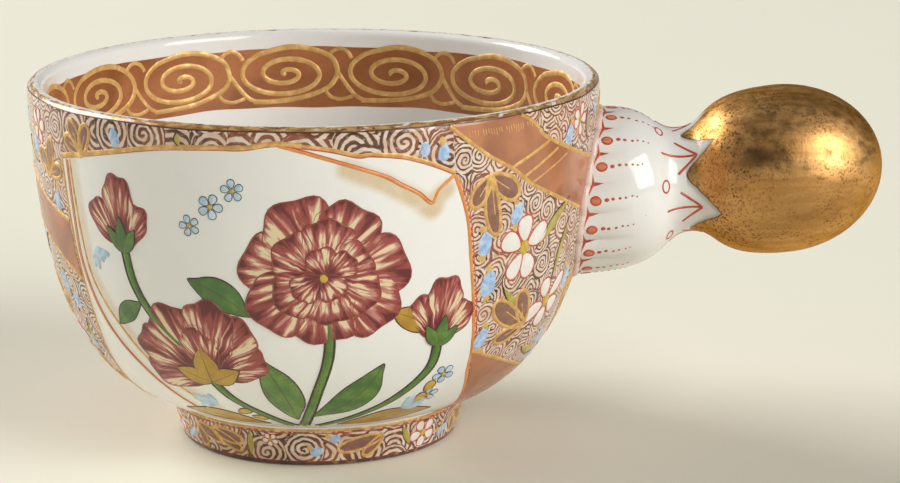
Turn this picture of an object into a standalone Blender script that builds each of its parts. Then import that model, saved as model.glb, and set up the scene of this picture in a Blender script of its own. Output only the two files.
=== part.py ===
# Porcelain espresso cup with a ball handle.
# Five clay bodies: bowl, foot ring, lobed handle collar, the bead of luting slip round it, and a hollow ball.
# Metres, +Z up, handle towards +X. The origin is at the middle of the cup's footprint box, on the table.

import math

import bmesh
import bpy
from mathutils import Vector
from mathutils.geometry import interpolate_bezier

MM = 0.001

# Bowl: the outer wall is a full curve from the lip down to an almost flat underside.
RIM_RADIUS = 35.0 * MM
BOWL_DEPTH = 41.4 * MM
UNDERSIDE_HEIGHT = 3.5 * MM     # the underside of the bowl above the table
WALL_ROUNDNESS = 2.7            # how late the wall turns in on its way down
WALL_FULLNESS = 3.6             # how squarely it turns into the underside
WALL_DRAW = 2.1 * MM            # how far the middle of the wall is drawn in
LIP_WALL = 2.2 * MM
FLOOR_WALL = 3.0 * MM

# Foot ring, tapering down to a flat bearing face.
FOOT_TOP_RADIUS = 18.5 * MM
FOOT_BASE_RADIUS = 17.3 * MM
FOOT_WALL = 3.2 * MM
FOOT_EDGE = 0.6 * MM            # rounding at both edges of the bearing face

# Handle: its axis leaves the wall below the lip and rises.
HANDLE_DROP = 14.8 * MM
HANDLE_TILT = math.radians(6.3)

# Collar: seventeen petal lobes at the wall, then a shoulder that is drawn in to the neck.
COLLAR_RADIUS = 10.3 * MM
COLLAR_LENGTH = 11.5 * MM       # from the wall to the neck, along the axis
COLLAR_STRAIGHT = 0.5 * MM      # straight stretch before the shoulder begins
COLLAR_WALL = 2.2 * MM
NECK_RADIUS = 6.5 * MM
SHOULDER_EASE = 0.79            # pull of the shoulder's curve, as a share of its run
NECK_EASE = 0.33
LOBE_COUNT = 17
GROOVE_DEPTH = 0.55 * MM        # depth of the grooves between the lobes at the wall
GROOVE_RUN = 4.5 * MM           # distance along the collar in which a groove fades out

# Ball: an egg, drawn in to the neck on its near side, with a tenon for the collar's mouth.
BALL_RADIUS = 10.45 * MM
BALL_SHOULDER = 12.0 * MM       # from the neck to the widest ring
BALL_NOSE = 12.55 * MM          # from the widest ring to the tip
BALL_WALL = 2.2 * MM
NAPE_EASE = 0.31                # pull of the near side's curve at the neck and at the widest ring
SWELL_EASE = 0.81
TENON_LENGTH = 4.0 * MM
TENON_WALL = 1.5 * MM

# Slip bead in the corner between wall and collar.
BEAD_RADIUS = 0.5 * MM

SEAT_GAP = 0.3 * MM             # clearance between pieces that are luted together

# Facets.
TURN_STEPS = 64                 # steps of the bowl and the foot round the cup's axis
BALL_STEPS = 40
LOBE_STEPS = 4                  # steps across one lobe of the collar
PROFILE_STEPS = 14              # steps down the bowl's curve
CURVE_STEPS = 8                 # steps along an ogee or a quarter of the egg
LIP_STEPS = 6
SEAT_STEPS = 4
EDGE_STEPS = 3
MERGE_DISTANCE = 0.01 * MM
SHARP_ANGLE = math.radians(35.0)

LIP_HEIGHT = UNDERSIDE_HEIGHT + BOWL_DEPTH
HANDLE_HEIGHT = LIP_HEIGHT - HANDLE_DROP
SOCKET_RADIUS = NECK_RADIUS - COLLAR_WALL
TENON_RADIUS = SOCKET_RADIUS - SEAT_GAP
HANDLE_AXIS = Vector((math.cos(HANDLE_TILT), 0.0, math.sin(HANDLE_TILT)))


def wall_radius(depth, rim_radius, full_depth):
    """Radius of the bowl's curve at a depth below the lip."""
    t = min(max(depth / full_depth, 0.0), 1.0)
    round_part = (1.0 - t ** WALL_ROUNDNESS) ** (1.0 / WALL_FULLNESS)
    return rim_radius * round_part - WALL_DRAW * t * (1.0 - t)


def outer_radius(z):
    return wall_radius(LIP_HEIGHT - z, RIM_RADIUS, BOWL_DEPTH)


def inner_radius(z):
    return wall_radius(LIP_HEIGHT - z, RIM_RADIUS - LIP_WALL, BOWL_DEPTH - FLOOR_WALL)


def solve(function, low, high):
    """Root of a function that changes sign between low and high."""
    rising = function(high) > 0.0
    for _ in range(60):
        middle = (low + high) / 2.0
        if (function(middle) > 0.0) == rising:
            high = middle
        else:
            low = middle
    return (low + high) / 2.0


def underside(radius):
    """Height of the bowl's outer surface where it has this radius."""
    return solve(lambda z: outer_radius(z) - radius, UNDERSIDE_HEIGHT, LIP_HEIGHT)


WALL_AT_HANDLE = outer_radius(HANDLE_HEIGHT)
HANDLE_ROOT = Vector((WALL_AT_HANDLE, 0.0, HANDLE_HEIGHT))
BALL_CENTRE = HANDLE_ROOT + HANDLE_AXIS * (COLLAR_LENGTH + BALL_SHOULDER)
BALL_TIP_X = BALL_CENTRE.x + math.hypot(BALL_NOSE * HANDLE_AXIS.x, BALL_RADIUS * HANDLE_AXIS.z)
LIP_RADIUS = outer_radius(LIP_HEIGHT - LIP_WALL / 2.0)
BOWL_AXIS_X = (LIP_RADIUS - BALL_TIP_X) / 2.0


def arc(centre, radii, start, end, steps):
    """Points of an elliptical arc in a profile, both ends included; angles in degrees from the radius."""
    points = []
    for k in range(steps + 1):
        angle = math.radians(start + (end - start) * k / steps)
        points.append((centre[0] + radii[0] * math.cos(angle), centre[1] + radii[1] * math.sin(angle)))
    return points


def ogee(start, end, start_ease, end_ease, steps):
    """S-shaped stretch of a profile that is parallel to the axis at both ends."""
    run = end[1] - start[1]
    knots = (
        Vector((start[0], start[1], 0.0)),
        Vector((start[0], start[1] + run * start_ease, 0.0)),
        Vector((end[0], end[1] - run * end_ease, 0.0)),
        Vector((end[0], end[1], 0.0)),
    )
    return [(p.x, p.y) for p in interpolate_bezier(*knots, steps + 1)]


def collection(name):
    made = bpy.data.collections.new(name)
    bpy.context.scene.collection.children.link(made)
    return made


def finish(name, colour, roughness, metallic=0.0):
    material = bpy.data.materials.new(name)
    material.use_nodes = True
    shader = material.node_tree.nodes["Principled BSDF"]
    shader.inputs["Base Color"].default_value = (*colour, 1.0)
    shader.inputs["Roughness"].default_value = roughness
    shader.inputs["Metallic"].default_value = metallic
    return material


def place(name, mesh, home, parent, material=None):
    part = bpy.data.objects.new(name, mesh)
    home.objects.link(part)
    part.parent = parent
    if material is not None:
        mesh.materials.append(material)
    return part


def profile_mesh(name, points, closed):
    """A line of points in the XZ plane, to be turned about Z."""
    bm = bmesh.new()
    verts = [bm.verts.new((r, 0.0, z)) for r, z in points]
    for a, b in zip(verts, verts[1:]):
        bm.edges.new((a, b))
    if closed:
        bm.edges.new((verts[-1], verts[0]))
    mesh = bpy.data.meshes.new(name)
    bm.to_mesh(mesh)
    bm.free()
    return mesh


def turn(part, steps):
    screw = part.modifiers.new("turn", 'SCREW')
    screw.axis = 'Z'
    screw.steps = steps
    screw.render_steps = steps
    screw.use_merge_vertices = True
    screw.merge_threshold = MERGE_DISTANCE
    screw.use_smooth_shade = True


def lay_on_handle(part):
    """Puts a piece that was turned about its own Z on the handle's axis."""
    part.location = HANDLE_ROOT
    part.rotation_euler = (0.0, math.pi / 2.0 - HANDLE_TILT, 0.0)


def wall_points(radius_at, top, bottom, steps):
    """Points down a bowl curve from just under the lip to its pole on the axis."""
    points = []
    for k in range(steps + 1):
        share = math.sin(math.pi / 2.0 * k / steps)
        z = top + (bottom - top) * share
        points.append((radius_at(z), z))
    points[-1] = (0.0, bottom)
    return points


def build_bowl(home, parent):
    lip_base = LIP_HEIGHT - LIP_WALL / 2.0
    lip_centre = (LIP_RADIUS - LIP_WALL / 2.0, lip_base)
    lip = arc(lip_centre, (LIP_WALL / 2.0, LIP_WALL / 2.0), 180.0, 0.0, LIP_STEPS)
    outside = wall_points(outer_radius, lip_base, UNDERSIDE_HEIGHT, PROFILE_STEPS)
    inside = wall_points(inner_radius, lip_base, UNDERSIDE_HEIGHT + FLOOR_WALL, PROFILE_STEPS)
    profile = inside[:0:-1] + lip + outside[1:]
    bowl = place("bowl", profile_mesh("bowl", profile, False), home, parent,
                 finish("white_glaze", (0.87, 0.86, 0.82), 0.12))
    turn(bowl, TURN_STEPS)


def build_foot_ring(home, parent):
    seat_inner = FOOT_TOP_RADIUS - FOOT_WALL
    seat = []
    for k in range(SEAT_STEPS + 1):
        radius = seat_inner + FOOT_WALL * k / SEAT_STEPS
        seat.append((radius, underside(radius) - SEAT_GAP))
    edge = (FOOT_EDGE, FOOT_EDGE)
    outer_edge = arc((FOOT_BASE_RADIUS - FOOT_EDGE, FOOT_EDGE), edge, 0.0, -90.0, EDGE_STEPS)
    base_inner = FOOT_BASE_RADIUS - FOOT_WALL
    inner_edge = arc((base_inner + FOOT_EDGE, FOOT_EDGE), edge, -90.0, -180.0, EDGE_STEPS)
    profile = seat + outer_edge + inner_edge
    foot = place("foot_ring", profile_mesh("foot_ring", profile, True), home, parent,
                 finish("foot_enamel", (0.62, 0.42, 0.30), 0.25))
    turn(foot, TURN_STEPS)


def saddle_cutter(home, parent):
    """The bowl's outside with the seat gap added, as a solid to cut the collar's foot with."""
    clear_of_lip = LIP_HEIGHT + COLLAR_RADIUS
    wall = [(r + SEAT_GAP, z) for r, z in
            wall_points(outer_radius, LIP_HEIGHT, UNDERSIDE_HEIGHT, 2 * PROFILE_STEPS)[:-1]]
    profile = [(0.0, clear_of_lip), (RIM_RADIUS + SEAT_GAP, clear_of_lip)]
    profile += wall + [(0.0, UNDERSIDE_HEIGHT)]
    cutter = place("saddle_cutter", profile_mesh("saddle_cutter", profile, False), home, parent)
    turn(cutter, TURN_STEPS)
    cutter.hide_render = True
    cutter.display_type = 'WIRE'
    return cutter


def groove_depth(turn_angle, along):
    """Depth of the groove between two petals, deepest at the wall and gone after its run."""
    fade = min(max(1.0 - along / GROOVE_RUN, 0.0), 1.0)
    crest = abs(math.sin(turn_angle * LOBE_COUNT / 2.0))
    return GROOVE_DEPTH * fade * (1.0 - crest)


def build_collar(home, parent, cutter):
    root = -COLLAR_RADIUS       # starts well inside the bowl, where the saddle cut takes it off
    neck = COLLAR_LENGTH - SEAT_GAP / 2.0
    shoulder = ogee((COLLAR_RADIUS, COLLAR_STRAIGHT), (NECK_RADIUS, neck), SHOULDER_EASE, NECK_EASE,
                    CURVE_STEPS)
    outside = [(COLLAR_RADIUS, root), (COLLAR_RADIUS, 0.0)] + shoulder
    socket_floor = neck - TENON_LENGTH - SEAT_GAP
    bore_radius = COLLAR_RADIUS - COLLAR_WALL
    bore = ogee((SOCKET_RADIUS, socket_floor), (bore_radius, 0.0), NECK_EASE, SHOULDER_EASE, CURVE_STEPS)
    inside = [(SOCKET_RADIUS, neck)] + bore + [(bore_radius, root)]
    bm = bmesh.new()
    bm.from_mesh(profile_mesh("collar_profile", outside + inside, True))
    bmesh.ops.spin(bm, geom=bm.verts[:] + bm.edges[:], cent=(0.0, 0.0, 0.0), axis=(0.0, 0.0, 1.0),
                   angle=2.0 * math.pi, steps=LOBE_COUNT * LOBE_STEPS, use_merge=True)
    bmesh.ops.remove_doubles(bm, verts=bm.verts[:], dist=MERGE_DISTANCE)
    for vert in bm.verts:
        across = math.hypot(vert.co.x, vert.co.y)
        if across > COLLAR_RADIUS - COLLAR_WALL / 2.0 and vert.co.z < GROOVE_RUN:
            sunk = groove_depth(math.atan2(vert.co.y, vert.co.x), vert.co.z)
            vert.co.x *= (across - sunk) / across
            vert.co.y *= (across - sunk) / across
    bmesh.ops.recalc_face_normals(bm, faces=bm.faces[:])
    mesh = bpy.data.meshes.new("handle_collar")
    bm.to_mesh(mesh)
    bm.free()
    mesh.shade_smooth()
    mesh.set_sharp_from_angle(angle=SHARP_ANGLE)
    collar = place("handle_collar", mesh, home, parent, finish("collar_glaze", (0.88, 0.86, 0.82), 0.12))
    lay_on_handle(collar)
    saddle = collar.modifiers.new("saddle", 'BOOLEAN')
    saddle.operation = 'DIFFERENCE'
    saddle.solver = 'EXACT'
    saddle.object = cutter


def build_slip_bead(home, parent):
    """A closed tube that follows the line where the collar's outside meets the wall."""
    standoff = SEAT_GAP + BEAD_RADIUS
    side = Vector((0.0, 1.0, 0.0))
    rise = HANDLE_AXIS.cross(side)
    curve = bpy.data.curves.new("slip_bead", 'CURVE')
    curve.dimensions = '3D'
    curve.bevel_depth = BEAD_RADIUS
    curve.bevel_resolution = 2
    spline = curve.splines.new('POLY')
    count = LOBE_COUNT * LOBE_STEPS
    spline.points.add(count - 1)
    spline.use_cyclic_u = True
    for k in range(count):
        angle = 2.0 * math.pi * k / count
        around = (side * math.cos(angle) + rise * math.sin(angle)) * (COLLAR_RADIUS + standoff)

        def clear_of_wall(along):
            point = HANDLE_ROOT + around + HANDLE_AXIS * along
            return math.hypot(point.x, point.y) - outer_radius(point.z) - standoff

        along = solve(clear_of_wall, -COLLAR_RADIUS, COLLAR_RADIUS)
        spline.points[k].co = (*(HANDLE_ROOT + around + HANDLE_AXIS * along), 1.0)
    place("slip_bead", curve, home, parent, finish("slip_glaze", (0.86, 0.72, 0.66), 0.2))


def build_ball(home, parent):
    neck = COLLAR_LENGTH + SEAT_GAP / 2.0
    widest = COLLAR_LENGTH + BALL_SHOULDER
    nose = arc((0.0, widest), (BALL_RADIUS, BALL_NOSE), 90.0, 0.0, CURVE_STEPS)
    near_side = ogee((BALL_RADIUS, widest), (NECK_RADIUS, neck), SWELL_EASE, NAPE_EASE, CURVE_STEPS)
    tenon_end = neck - TENON_LENGTH
    bore_radius = TENON_RADIUS - TENON_WALL
    tenon = [(TENON_RADIUS, neck), (TENON_RADIUS, tenon_end), (bore_radius, tenon_end)]
    cave_radius = BALL_RADIUS - BALL_WALL
    cave_side = ogee((bore_radius, neck + BALL_WALL), (cave_radius, widest), NAPE_EASE, SWELL_EASE,
                     CURVE_STEPS)
    cave = arc((0.0, widest), (cave_radius, BALL_NOSE - BALL_WALL), 0.0, 90.0, CURVE_STEPS)
    nose[0] = (0.0, nose[0][1])
    cave[-1] = (0.0, cave[-1][1])
    profile = nose + near_side[1:] + tenon + cave_side + cave[1:]
    ball = place("ball_knob", profile_mesh("ball_knob", profile, False), home, parent,
                 finish("burnished_gilding", (0.66, 0.42, 0.16), 0.3, 1.0))
    turn(ball, BALL_STEPS)
    lay_on_handle(ball)


def main():
    for old in list(bpy.data.objects):
        bpy.data.objects.remove(old, do_unlink=True)
    parts = collection("espresso_cup")
    cutters = collection("cutters")
    axis = bpy.data.objects.new("cup_axis", None)
    parts.objects.link(axis)
    axis.location = (BOWL_AXIS_X, 0.0, 0.0)
    build_bowl(parts, axis)
    build_foot_ring(parts, axis)
    build_collar(parts, axis, saddle_cutter(cutters, axis))
    build_slip_bead(parts, axis)
    build_ball(parts, axis)


main()
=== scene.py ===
import bisect
import math
import random

import bmesh
import bpy
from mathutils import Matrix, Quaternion, Vector, kdtree
from mathutils.geometry import interpolate_bezier


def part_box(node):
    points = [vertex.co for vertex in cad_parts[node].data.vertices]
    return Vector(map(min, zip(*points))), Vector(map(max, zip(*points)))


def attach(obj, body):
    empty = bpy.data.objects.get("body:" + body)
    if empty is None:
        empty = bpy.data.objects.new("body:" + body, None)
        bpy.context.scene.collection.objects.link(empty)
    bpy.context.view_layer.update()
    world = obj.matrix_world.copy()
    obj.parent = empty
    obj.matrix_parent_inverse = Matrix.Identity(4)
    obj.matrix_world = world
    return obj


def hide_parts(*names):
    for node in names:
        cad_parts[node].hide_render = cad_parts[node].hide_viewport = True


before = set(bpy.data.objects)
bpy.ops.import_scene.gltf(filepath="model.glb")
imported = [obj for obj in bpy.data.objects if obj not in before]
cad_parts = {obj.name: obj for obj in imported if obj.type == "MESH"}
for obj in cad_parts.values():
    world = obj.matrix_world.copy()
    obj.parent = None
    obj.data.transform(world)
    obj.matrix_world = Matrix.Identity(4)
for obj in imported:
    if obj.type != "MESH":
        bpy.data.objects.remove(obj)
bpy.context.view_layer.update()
scene = bpy.context.scene
mm = 0.001                      # lengths below are in mm, meshes in metres
chance = random.Random(11)
print("frame loaded")


# A turned surface, read by how far round it (degrees) and how far along its profile (mm).
class TurnedSurface:
    def __init__(self, points, origin, axis, zero, facing, start=0.0, byAxis=False, dip=None):
        self.points, self.facing, self.dip = points, facing, dip
        self.origin, self.axis, self.zero = Vector(origin), Vector(axis), Vector(zero)
        self.side = self.axis.cross(self.zero)
        self.keys = [start]
        for (r0, h0), (r1, h1) in zip(points, points[1:]):
            run = abs(h1 - h0) if byAxis else math.hypot(r1 - r0, h1 - h0)
            self.keys.append(self.keys[-1] + max(run, 1e-6))
        self.normals = []
        for k in range(len(points)):
            (r0, h0), (r1, h1) = points[max(k - 1, 0)], points[min(k + 1, len(points) - 1)]
            size = math.hypot(r1 - r0, h1 - h0)
            self.normals.append(((h0 - h1) / size * facing, (r1 - r0) / size * facing))

    def profile(self, along):
        k = min(max(bisect.bisect_right(self.keys, along) - 1, 0), len(self.keys) - 2)
        t = min(max((along - self.keys[k]) / (self.keys[k + 1] - self.keys[k]), 0.0), 1.0)
        (r0, h0), (r1, h1) = self.points[k], self.points[k + 1]
        (n0, m0), (n1, m1) = self.normals[k], self.normals[k + 1]
        return (r0 + (r1 - r0) * t, h0 + (h1 - h0) * t, n0 + (n1 - n0) * t, m0 + (m1 - m0) * t)

    def at(self, turn, along, lift=0.0):
        r, h, nr, nh = self.profile(along)
        if self.dip:
            r -= self.dip(turn, along)
        a = math.radians(turn)
        out = self.zero * math.cos(a) + self.side * math.sin(a)
        return (self.origin + out * (r + nr * lift) + self.axis * (h + nh * lift)) * mm

    def alongAt(self, height):
        heights = [point[1] for point in self.points]
        if heights[0] > heights[-1]:
            k = bisect.bisect_left([-h for h in heights], -height)
        else:
            k = bisect.bisect_left(heights, height)
        return self.keys[min(k, len(self.keys) - 1)]

    # a point that lies dx mm round and dy mm along from a place
    def near(self, place, dx, dy):
        along = place[1] + dy
        return place[0] + math.degrees(dx / max(self.profile(along)[0], 1.0)), along


# Curves of the bodies, in the words of the CAD source; glazeSink leaves room for the painting.
bowlLow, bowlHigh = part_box("bowl")
bowl = {
    "axisX": (bowlLow.x + bowlHigh.x) / 2 / mm, "lipTop": bowlHigh.z / mm, "base": bowlLow.z / mm,
    "rim": 35.0, "roundness": 2.7, "fullness": 3.6, "draw": 2.1, "lipWall": 2.2, "floorWall": 3.0,
    "glazeSink": 0.12, "stops": 220, "turns": 420, "lipEdge": 0.47, "paintTop": -0.22, "wallEnd": 44.0,
}
foot = {"topRadius": 18.5, "baseRadius": 17.3, "wall": 3.2, "edge": 0.6, "gap": 0.3, "turns": 192}
handle = {
    "drop": 14.8, "tilt": 6.3, "collarRadius": 10.3, "collarLength": 11.5, "straight": 0.5, "neck": 6.5,
    "shoulderEase": 0.79, "neckEase": 0.33, "lobes": 17, "groove": 0.55, "grooveRun": 4.5, "gap": 0.3,
    "ballRadius": 10.45, "ballShoulder": 12.0, "ballNose": 12.55, "napeEase": 0.31, "swellEase": 0.81,
    "glazeSink": 0.1, "stops": 60,
}


def wallRadius(z, rim, depth):
    t = min(max((bowl["lipTop"] - z) / depth, 0.0), 1.0)
    return rim * (1.0 - t ** bowl["roundness"]) ** (1.0 / bowl["fullness"]) - bowl["draw"] * t * (1.0 - t)


def outerRadius(z):
    return wallRadius(z, bowl["rim"], bowl["lipTop"] - bowl["base"])


def innerRadius(z):
    return wallRadius(z, bowl["rim"] - bowl["lipWall"], bowl["lipTop"] - bowl["base"] - bowl["floorWall"])


# a wall from under the lip to its pole, after a quarter turn over the lip
def wallProfile(radiusAt, bottom, lipSign):
    half = bowl["lipWall"] / 2
    top = bowl["lipTop"] - half
    middle = outerRadius(top) - half
    points = []
    for k in range(12):
        a = math.pi / 2 * k / 12
        points.append((middle + lipSign * half * math.sin(a), top + half * math.cos(a)))
    for k in range(bowl["stops"] + 1):
        z = top + (bottom - top) * math.sin(math.pi / 2 * k / bowl["stops"])
        points.append((max(radiusAt(z), 0.0), z))
    return points


# the same profile, a little inside the body
def sunk(points, facing, depth):
    plain = TurnedSurface(points, (0, 0, 0), (0, 0, 1), (0, -1, 0), facing)
    moved = [(max(r - nr * depth, 0.0), h - nh * depth) for r, h, nr, nh in map(plain.profile, plain.keys)]
    moved[-1] = (0.0, moved[-1][1]) if points[-1][0] < 1e-6 else moved[-1]
    return moved


cupAxis = (bowl["axisX"], 0.0, 0.0)
up, front = (0.0, 0.0, 1.0), (0.0, -1.0, 0.0)
lipStart = bowl["lipEdge"] - math.pi / 4 * bowl["lipWall"]      # the wall leaves the lip at lipEdge


# a glazed wall of the bowl: 1 for its outside, -1 for its inside
def bowlSide(radiusAt, bottom, facing):
    points = sunk(wallProfile(radiusAt, bottom, facing), facing, bowl["glazeSink"])
    return TurnedSurface(points, cupAxis, up, front, facing, lipStart)


outside = bowlSide(outerRadius, bowl["base"], 1)
inside = bowlSide(innerRadius, bowl["base"] + bowl["floorWall"], -1)
lipStops = 16                   # the lip's own chart is 0 at the crest and less on the inside
lipSide = TurnedSurface(inside.points[lipStops::-1] + outside.points[1:lipStops + 1], cupAxis, up, front, 1,
                        inside.keys[0] - inside.keys[lipStops])


def footProfile():
    z = bowl["base"]
    while outerRadius(z) < foot["topRadius"]:
        z += 0.005
    points = [(foot["topRadius"], z - foot["gap"])]
    middle = (foot["baseRadius"] - foot["edge"], foot["edge"])
    for k in range(20):
        t = k / 20
        points.append((points[0][0] + (foot["baseRadius"] - points[0][0]) * t,
                       points[0][1] + (foot["edge"] - points[0][1]) * t))
    for k in range(9):
        a = math.pi / 2 * k / 8
        points.append((middle[0] + foot["edge"] * math.cos(a), middle[1] - foot["edge"] * math.sin(a)))
    return points[1:]


footSide = TurnedSurface(sunk(footProfile(), 1, bowl["glazeSink"]), cupAxis, up, front, 1)

handleTilt = math.radians(handle["tilt"])
handleHeight = bowl["lipTop"] - handle["drop"]
handleRoot = Vector((bowl["axisX"] + outerRadius(handleHeight), 0.0, handleHeight))
handleAxis = Vector((math.cos(handleTilt), 0.0, math.sin(handleTilt)))
handleDown = Vector((math.sin(handleTilt), 0.0, -math.cos(handleTilt)))


def ogee(start, end, startEase, endEase):
    run = end[1] - start[1]
    knots = [Vector((start[0], start[1], 0)), Vector((start[0], start[1] + run * startEase, 0)),
             Vector((end[0], end[1] - run * endEase, 0)), Vector((end[0], end[1], 0))]
    return [(p.x, p.y) for p in interpolate_bezier(*knots, handle["stops"])]


# groove between two petals of the collar, gone after its run
def petalGroove(turn, along):
    fade = min(max(1.0 - along / handle["grooveRun"], 0.0), 1.0)
    crest = abs(math.sin(math.radians(turn) * handle["lobes"] / 2))
    return handle["groove"] * fade * (1.0 - crest ** 0.8)


def onHandle(points, start, dip=None):
    return TurnedSurface(sunk(points, -1, handle["glazeSink"]), handleRoot, handleAxis, handleDown, -1,
                         start, True, dip)


collarEnd = handle["collarLength"]
widest = collarEnd + handle["ballShoulder"]
collarRoot = -handle["collarRadius"]
collarStep = 0.25
collarProfile = [(handle["collarRadius"], collarRoot + collarStep * k)
                 for k in range(int((handle["straight"] - collarRoot) / collarStep))]
collarProfile += ogee((handle["collarRadius"], handle["straight"]), (handle["neck"], collarEnd),
                      handle["shoulderEase"], handle["neckEase"])
collarSide = onHandle(collarProfile, collarRoot, petalGroove)
ballProfile = ogee((handle["neck"], collarEnd), (handle["ballRadius"], widest), handle["napeEase"],
                   handle["swellEase"])
for k in range(1, handle["stops"] + 1):
    a = math.pi / 2 * k / handle["stops"]
    ballProfile.append((handle["ballRadius"] * math.cos(a), widest + handle["ballNose"] * math.sin(a)))
ballProfile[-1] = (0.0, ballProfile[-1][1])
ballSide = onHandle(ballProfile, collarEnd)


# where the collar's side reaches the bowl's wall
def saddleLine(turn):
    low, high = -handle["collarRadius"], handle["collarRadius"]
    for _ in range(30):
        middle = (low + high) / 2
        p = collarSide.at(turn, middle) / mm
        if math.hypot(p.x - bowl["axisX"], p.y) > outerRadius(min(p.z, bowl["lipTop"])):
            high = middle
        else:
            low = middle
    return high


saddleTable = [saddleLine(turn) for turn in range(-180, 181, 3)]


def saddleAt(turn):
    place = ((turn + 180.0) % 360.0) / 3
    k = min(int(place), len(saddleTable) - 2)
    return saddleTable[k] + (saddleTable[k + 1] - saddleTable[k]) * (place - k)


glassIndex = 1.52


# A node finish, put together from short calls; patterns are read in mm.
class Finish:
    def __init__(self, name, **sockets):
        self.material = bpy.data.materials.new(name)
        self.material.use_nodes = True
        self.tree = self.material.node_tree
        self.shader = self.tree.nodes["Principled BSDF"]
        for socket, value in sockets.items():
            self.set(socket, value)
        where = self.add("ShaderNodeTexCoord")
        self.place = self.vector("SCALE", where.outputs["Object"], scale=1 / mm)

    def set(self, socket, value):
        words = "".join(" " + c if c.isupper() else c for c in socket).title().strip().replace("Ior", "IOR")
        self.put(self.shader.inputs[words], value)

    def put(self, socket, value):
        if isinstance(value, bpy.types.NodeSocket):
            self.tree.links.new(value, socket)
        elif isinstance(value, tuple) and len(value) == 3 and socket.type == "RGBA":
            socket.default_value = (*value, 1.0)
        else:
            socket.default_value = value

    def add(self, kind, inputs=None, **settings):
        made = self.tree.nodes.new(kind)
        for key, value in settings.items():
            setattr(made, key, value)
        for key, value in (inputs or {}).items():
            self.put(made.inputs[key], value)
        return made

    def math(self, operation, a, b=0.0, c=0.0):
        return self.add("ShaderNodeMath", {0: a, 1: b, 2: c}, operation=operation).outputs[0]

    def times(self, a, b):
        return self.math("MULTIPLY", a, b)

    def plus(self, a, b):
        return self.math("ADD", a, b)

    def minus(self, a, b):
        return self.math("SUBTRACT", a, b)

    def vector(self, operation, a, b=(0.0, 0.0, 0.0), scale=1.0):
        made = self.add("ShaderNodeVectorMath", {0: a, 1: b, 3: scale}, operation=operation)
        return made.outputs["Value" if operation in ("LENGTH", "DOT_PRODUCT") else "Vector"]

    # the numbers of a place: round and along, or x, y and z
    def split(self, place):
        return self.add("ShaderNodeSeparateXYZ", {0: place}).outputs

    def mix(self, share, a, b):
        return self.add("ShaderNodeMix", {0: share, 6: a, 7: b}, data_type="RGBA").outputs[2]

    # 0 below low, 1 above high, eased between
    def step(self, value, low, high, least=0.0, most=1.0):
        made = self.add("ShaderNodeMapRange", {0: value, 1: low, 2: high, 3: least, 4: most},
                        interpolation_type="SMOOTHSTEP")
        return made.outputs[0]

    def noise(self, scale, detail, distortion=0.0, where=None, stretch=None):
        where = where or self.place
        if stretch:
            where = self.vector("MULTIPLY", where, stretch)
        look = {"Vector": where, "Scale": scale, "Detail": detail, "Distortion": distortion}
        return self.add("ShaderNodeTexNoise", look).outputs["Fac"]

    # small round spots: 1 inside a spot
    def specks(self, scale, size):
        made = self.add("ShaderNodeTexVoronoi", {"Vector": self.place, "Scale": scale})
        own = self.add("ShaderNodeSeparateColor", {0: made.outputs["Color"]}).outputs[0]
        rare = self.math("GREATER_THAN", own, 0.62)             # two cells in five hold a speck
        return self.times(rare, self.step(made.outputs["Distance"], size * 0.5, size, 1.0, 0.0))

    def uv(self):
        return self.add("ShaderNodeUVMap", uv_map="skin").outputs["UV"]

    def attribute(self, name):
        return self.add("ShaderNodeAttribute", attribute_name=name).outputs["Fac"]

    def bump(self, height, depth):
        made = self.add("ShaderNodeBump", {"Height": height, "Distance": depth * mm, "Strength": 1.0})
        self.put(self.shader.inputs["Normal"], made.outputs["Normal"])

    # glassy enamel or glaze: returns its cloudy colour, and sets dull spots and orange peel
    def glassy(self, thin, thick, gloss, patch, peel):
        cloud = self.step(self.noise(patch, 4.0, 0.6), 0.3, 0.72)
        dull = self.step(self.noise(0.9, 3.0), 0.2, 0.8, gloss * 0.75, gloss * 1.35)
        self.set("roughness", dull)
        self.bump(self.noise(0.55, 2.0), peel)
        self.set("ior", glassIndex)
        return self.mix(cloud, thin, thick)


print("charts ready")


def makePiece(name, mesh, finish, slot, *nodes):
    piece = bpy.data.objects.new(name, mesh)
    scene.collection.objects.link(piece)
    mesh.materials.clear()
    mesh.materials.append(finish.material)
    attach(piece, "root")
    if nodes:
        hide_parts(*nodes)
    return piece


def meshFrom(bm, name, sharp=40.0):
    mesh = bpy.data.meshes.new(name)
    bm.to_mesh(mesh)
    bm.free()
    mesh.shade_smooth()
    mesh.set_sharp_from_angle(angle=math.radians(sharp))
    return mesh


# turns a chain of frame points round an axis into a closed shell
def spinChain(chain, closed, centre, axis, steps):
    bm = bmesh.new()
    verts = [bm.verts.new(p) for p in chain]
    for a, b in zip(verts, verts[1:] + (verts[:1] if closed else [])):
        bm.edges.new((a, b))
    bmesh.ops.spin(bm, geom=bm.verts[:] + bm.edges[:], cent=centre, axis=axis, angle=2 * math.pi,
                   steps=steps, use_merge=True)
    bmesh.ops.remove_doubles(bm, verts=bm.verts[:], dist=0.002 * mm)
    bmesh.ops.recalc_face_normals(bm, faces=bm.faces[:])
    return bm


# evenly spaced stops along a surface, both ends included
def stopsAlong(start, end, count):
    return [start + (end - start) * k / count for k in range(count + 1)]


degreeRun = 0.6                 # mm round the bowl in one degree


# place at a share of a line of (turn, along) points
def alongLine(points, share):
    runs = [0.0]
    for (a0, q0), (a1, q1) in zip(points, points[1:]):
        runs.append(runs[-1] + math.hypot((a1 - a0) * degreeRun, q1 - q0))
    want = share * runs[-1]
    k = min(max(bisect.bisect_right(runs, want) - 1, 0), len(points) - 2)
    t = (want - runs[k]) / max(runs[k + 1] - runs[k], 1e-6)
    return (points[k][0] + (points[k + 1][0] - points[k][0]) * t,
            points[k][1] + (points[k + 1][1] - points[k][1]) * t)


coatDepth = 0.06


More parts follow.
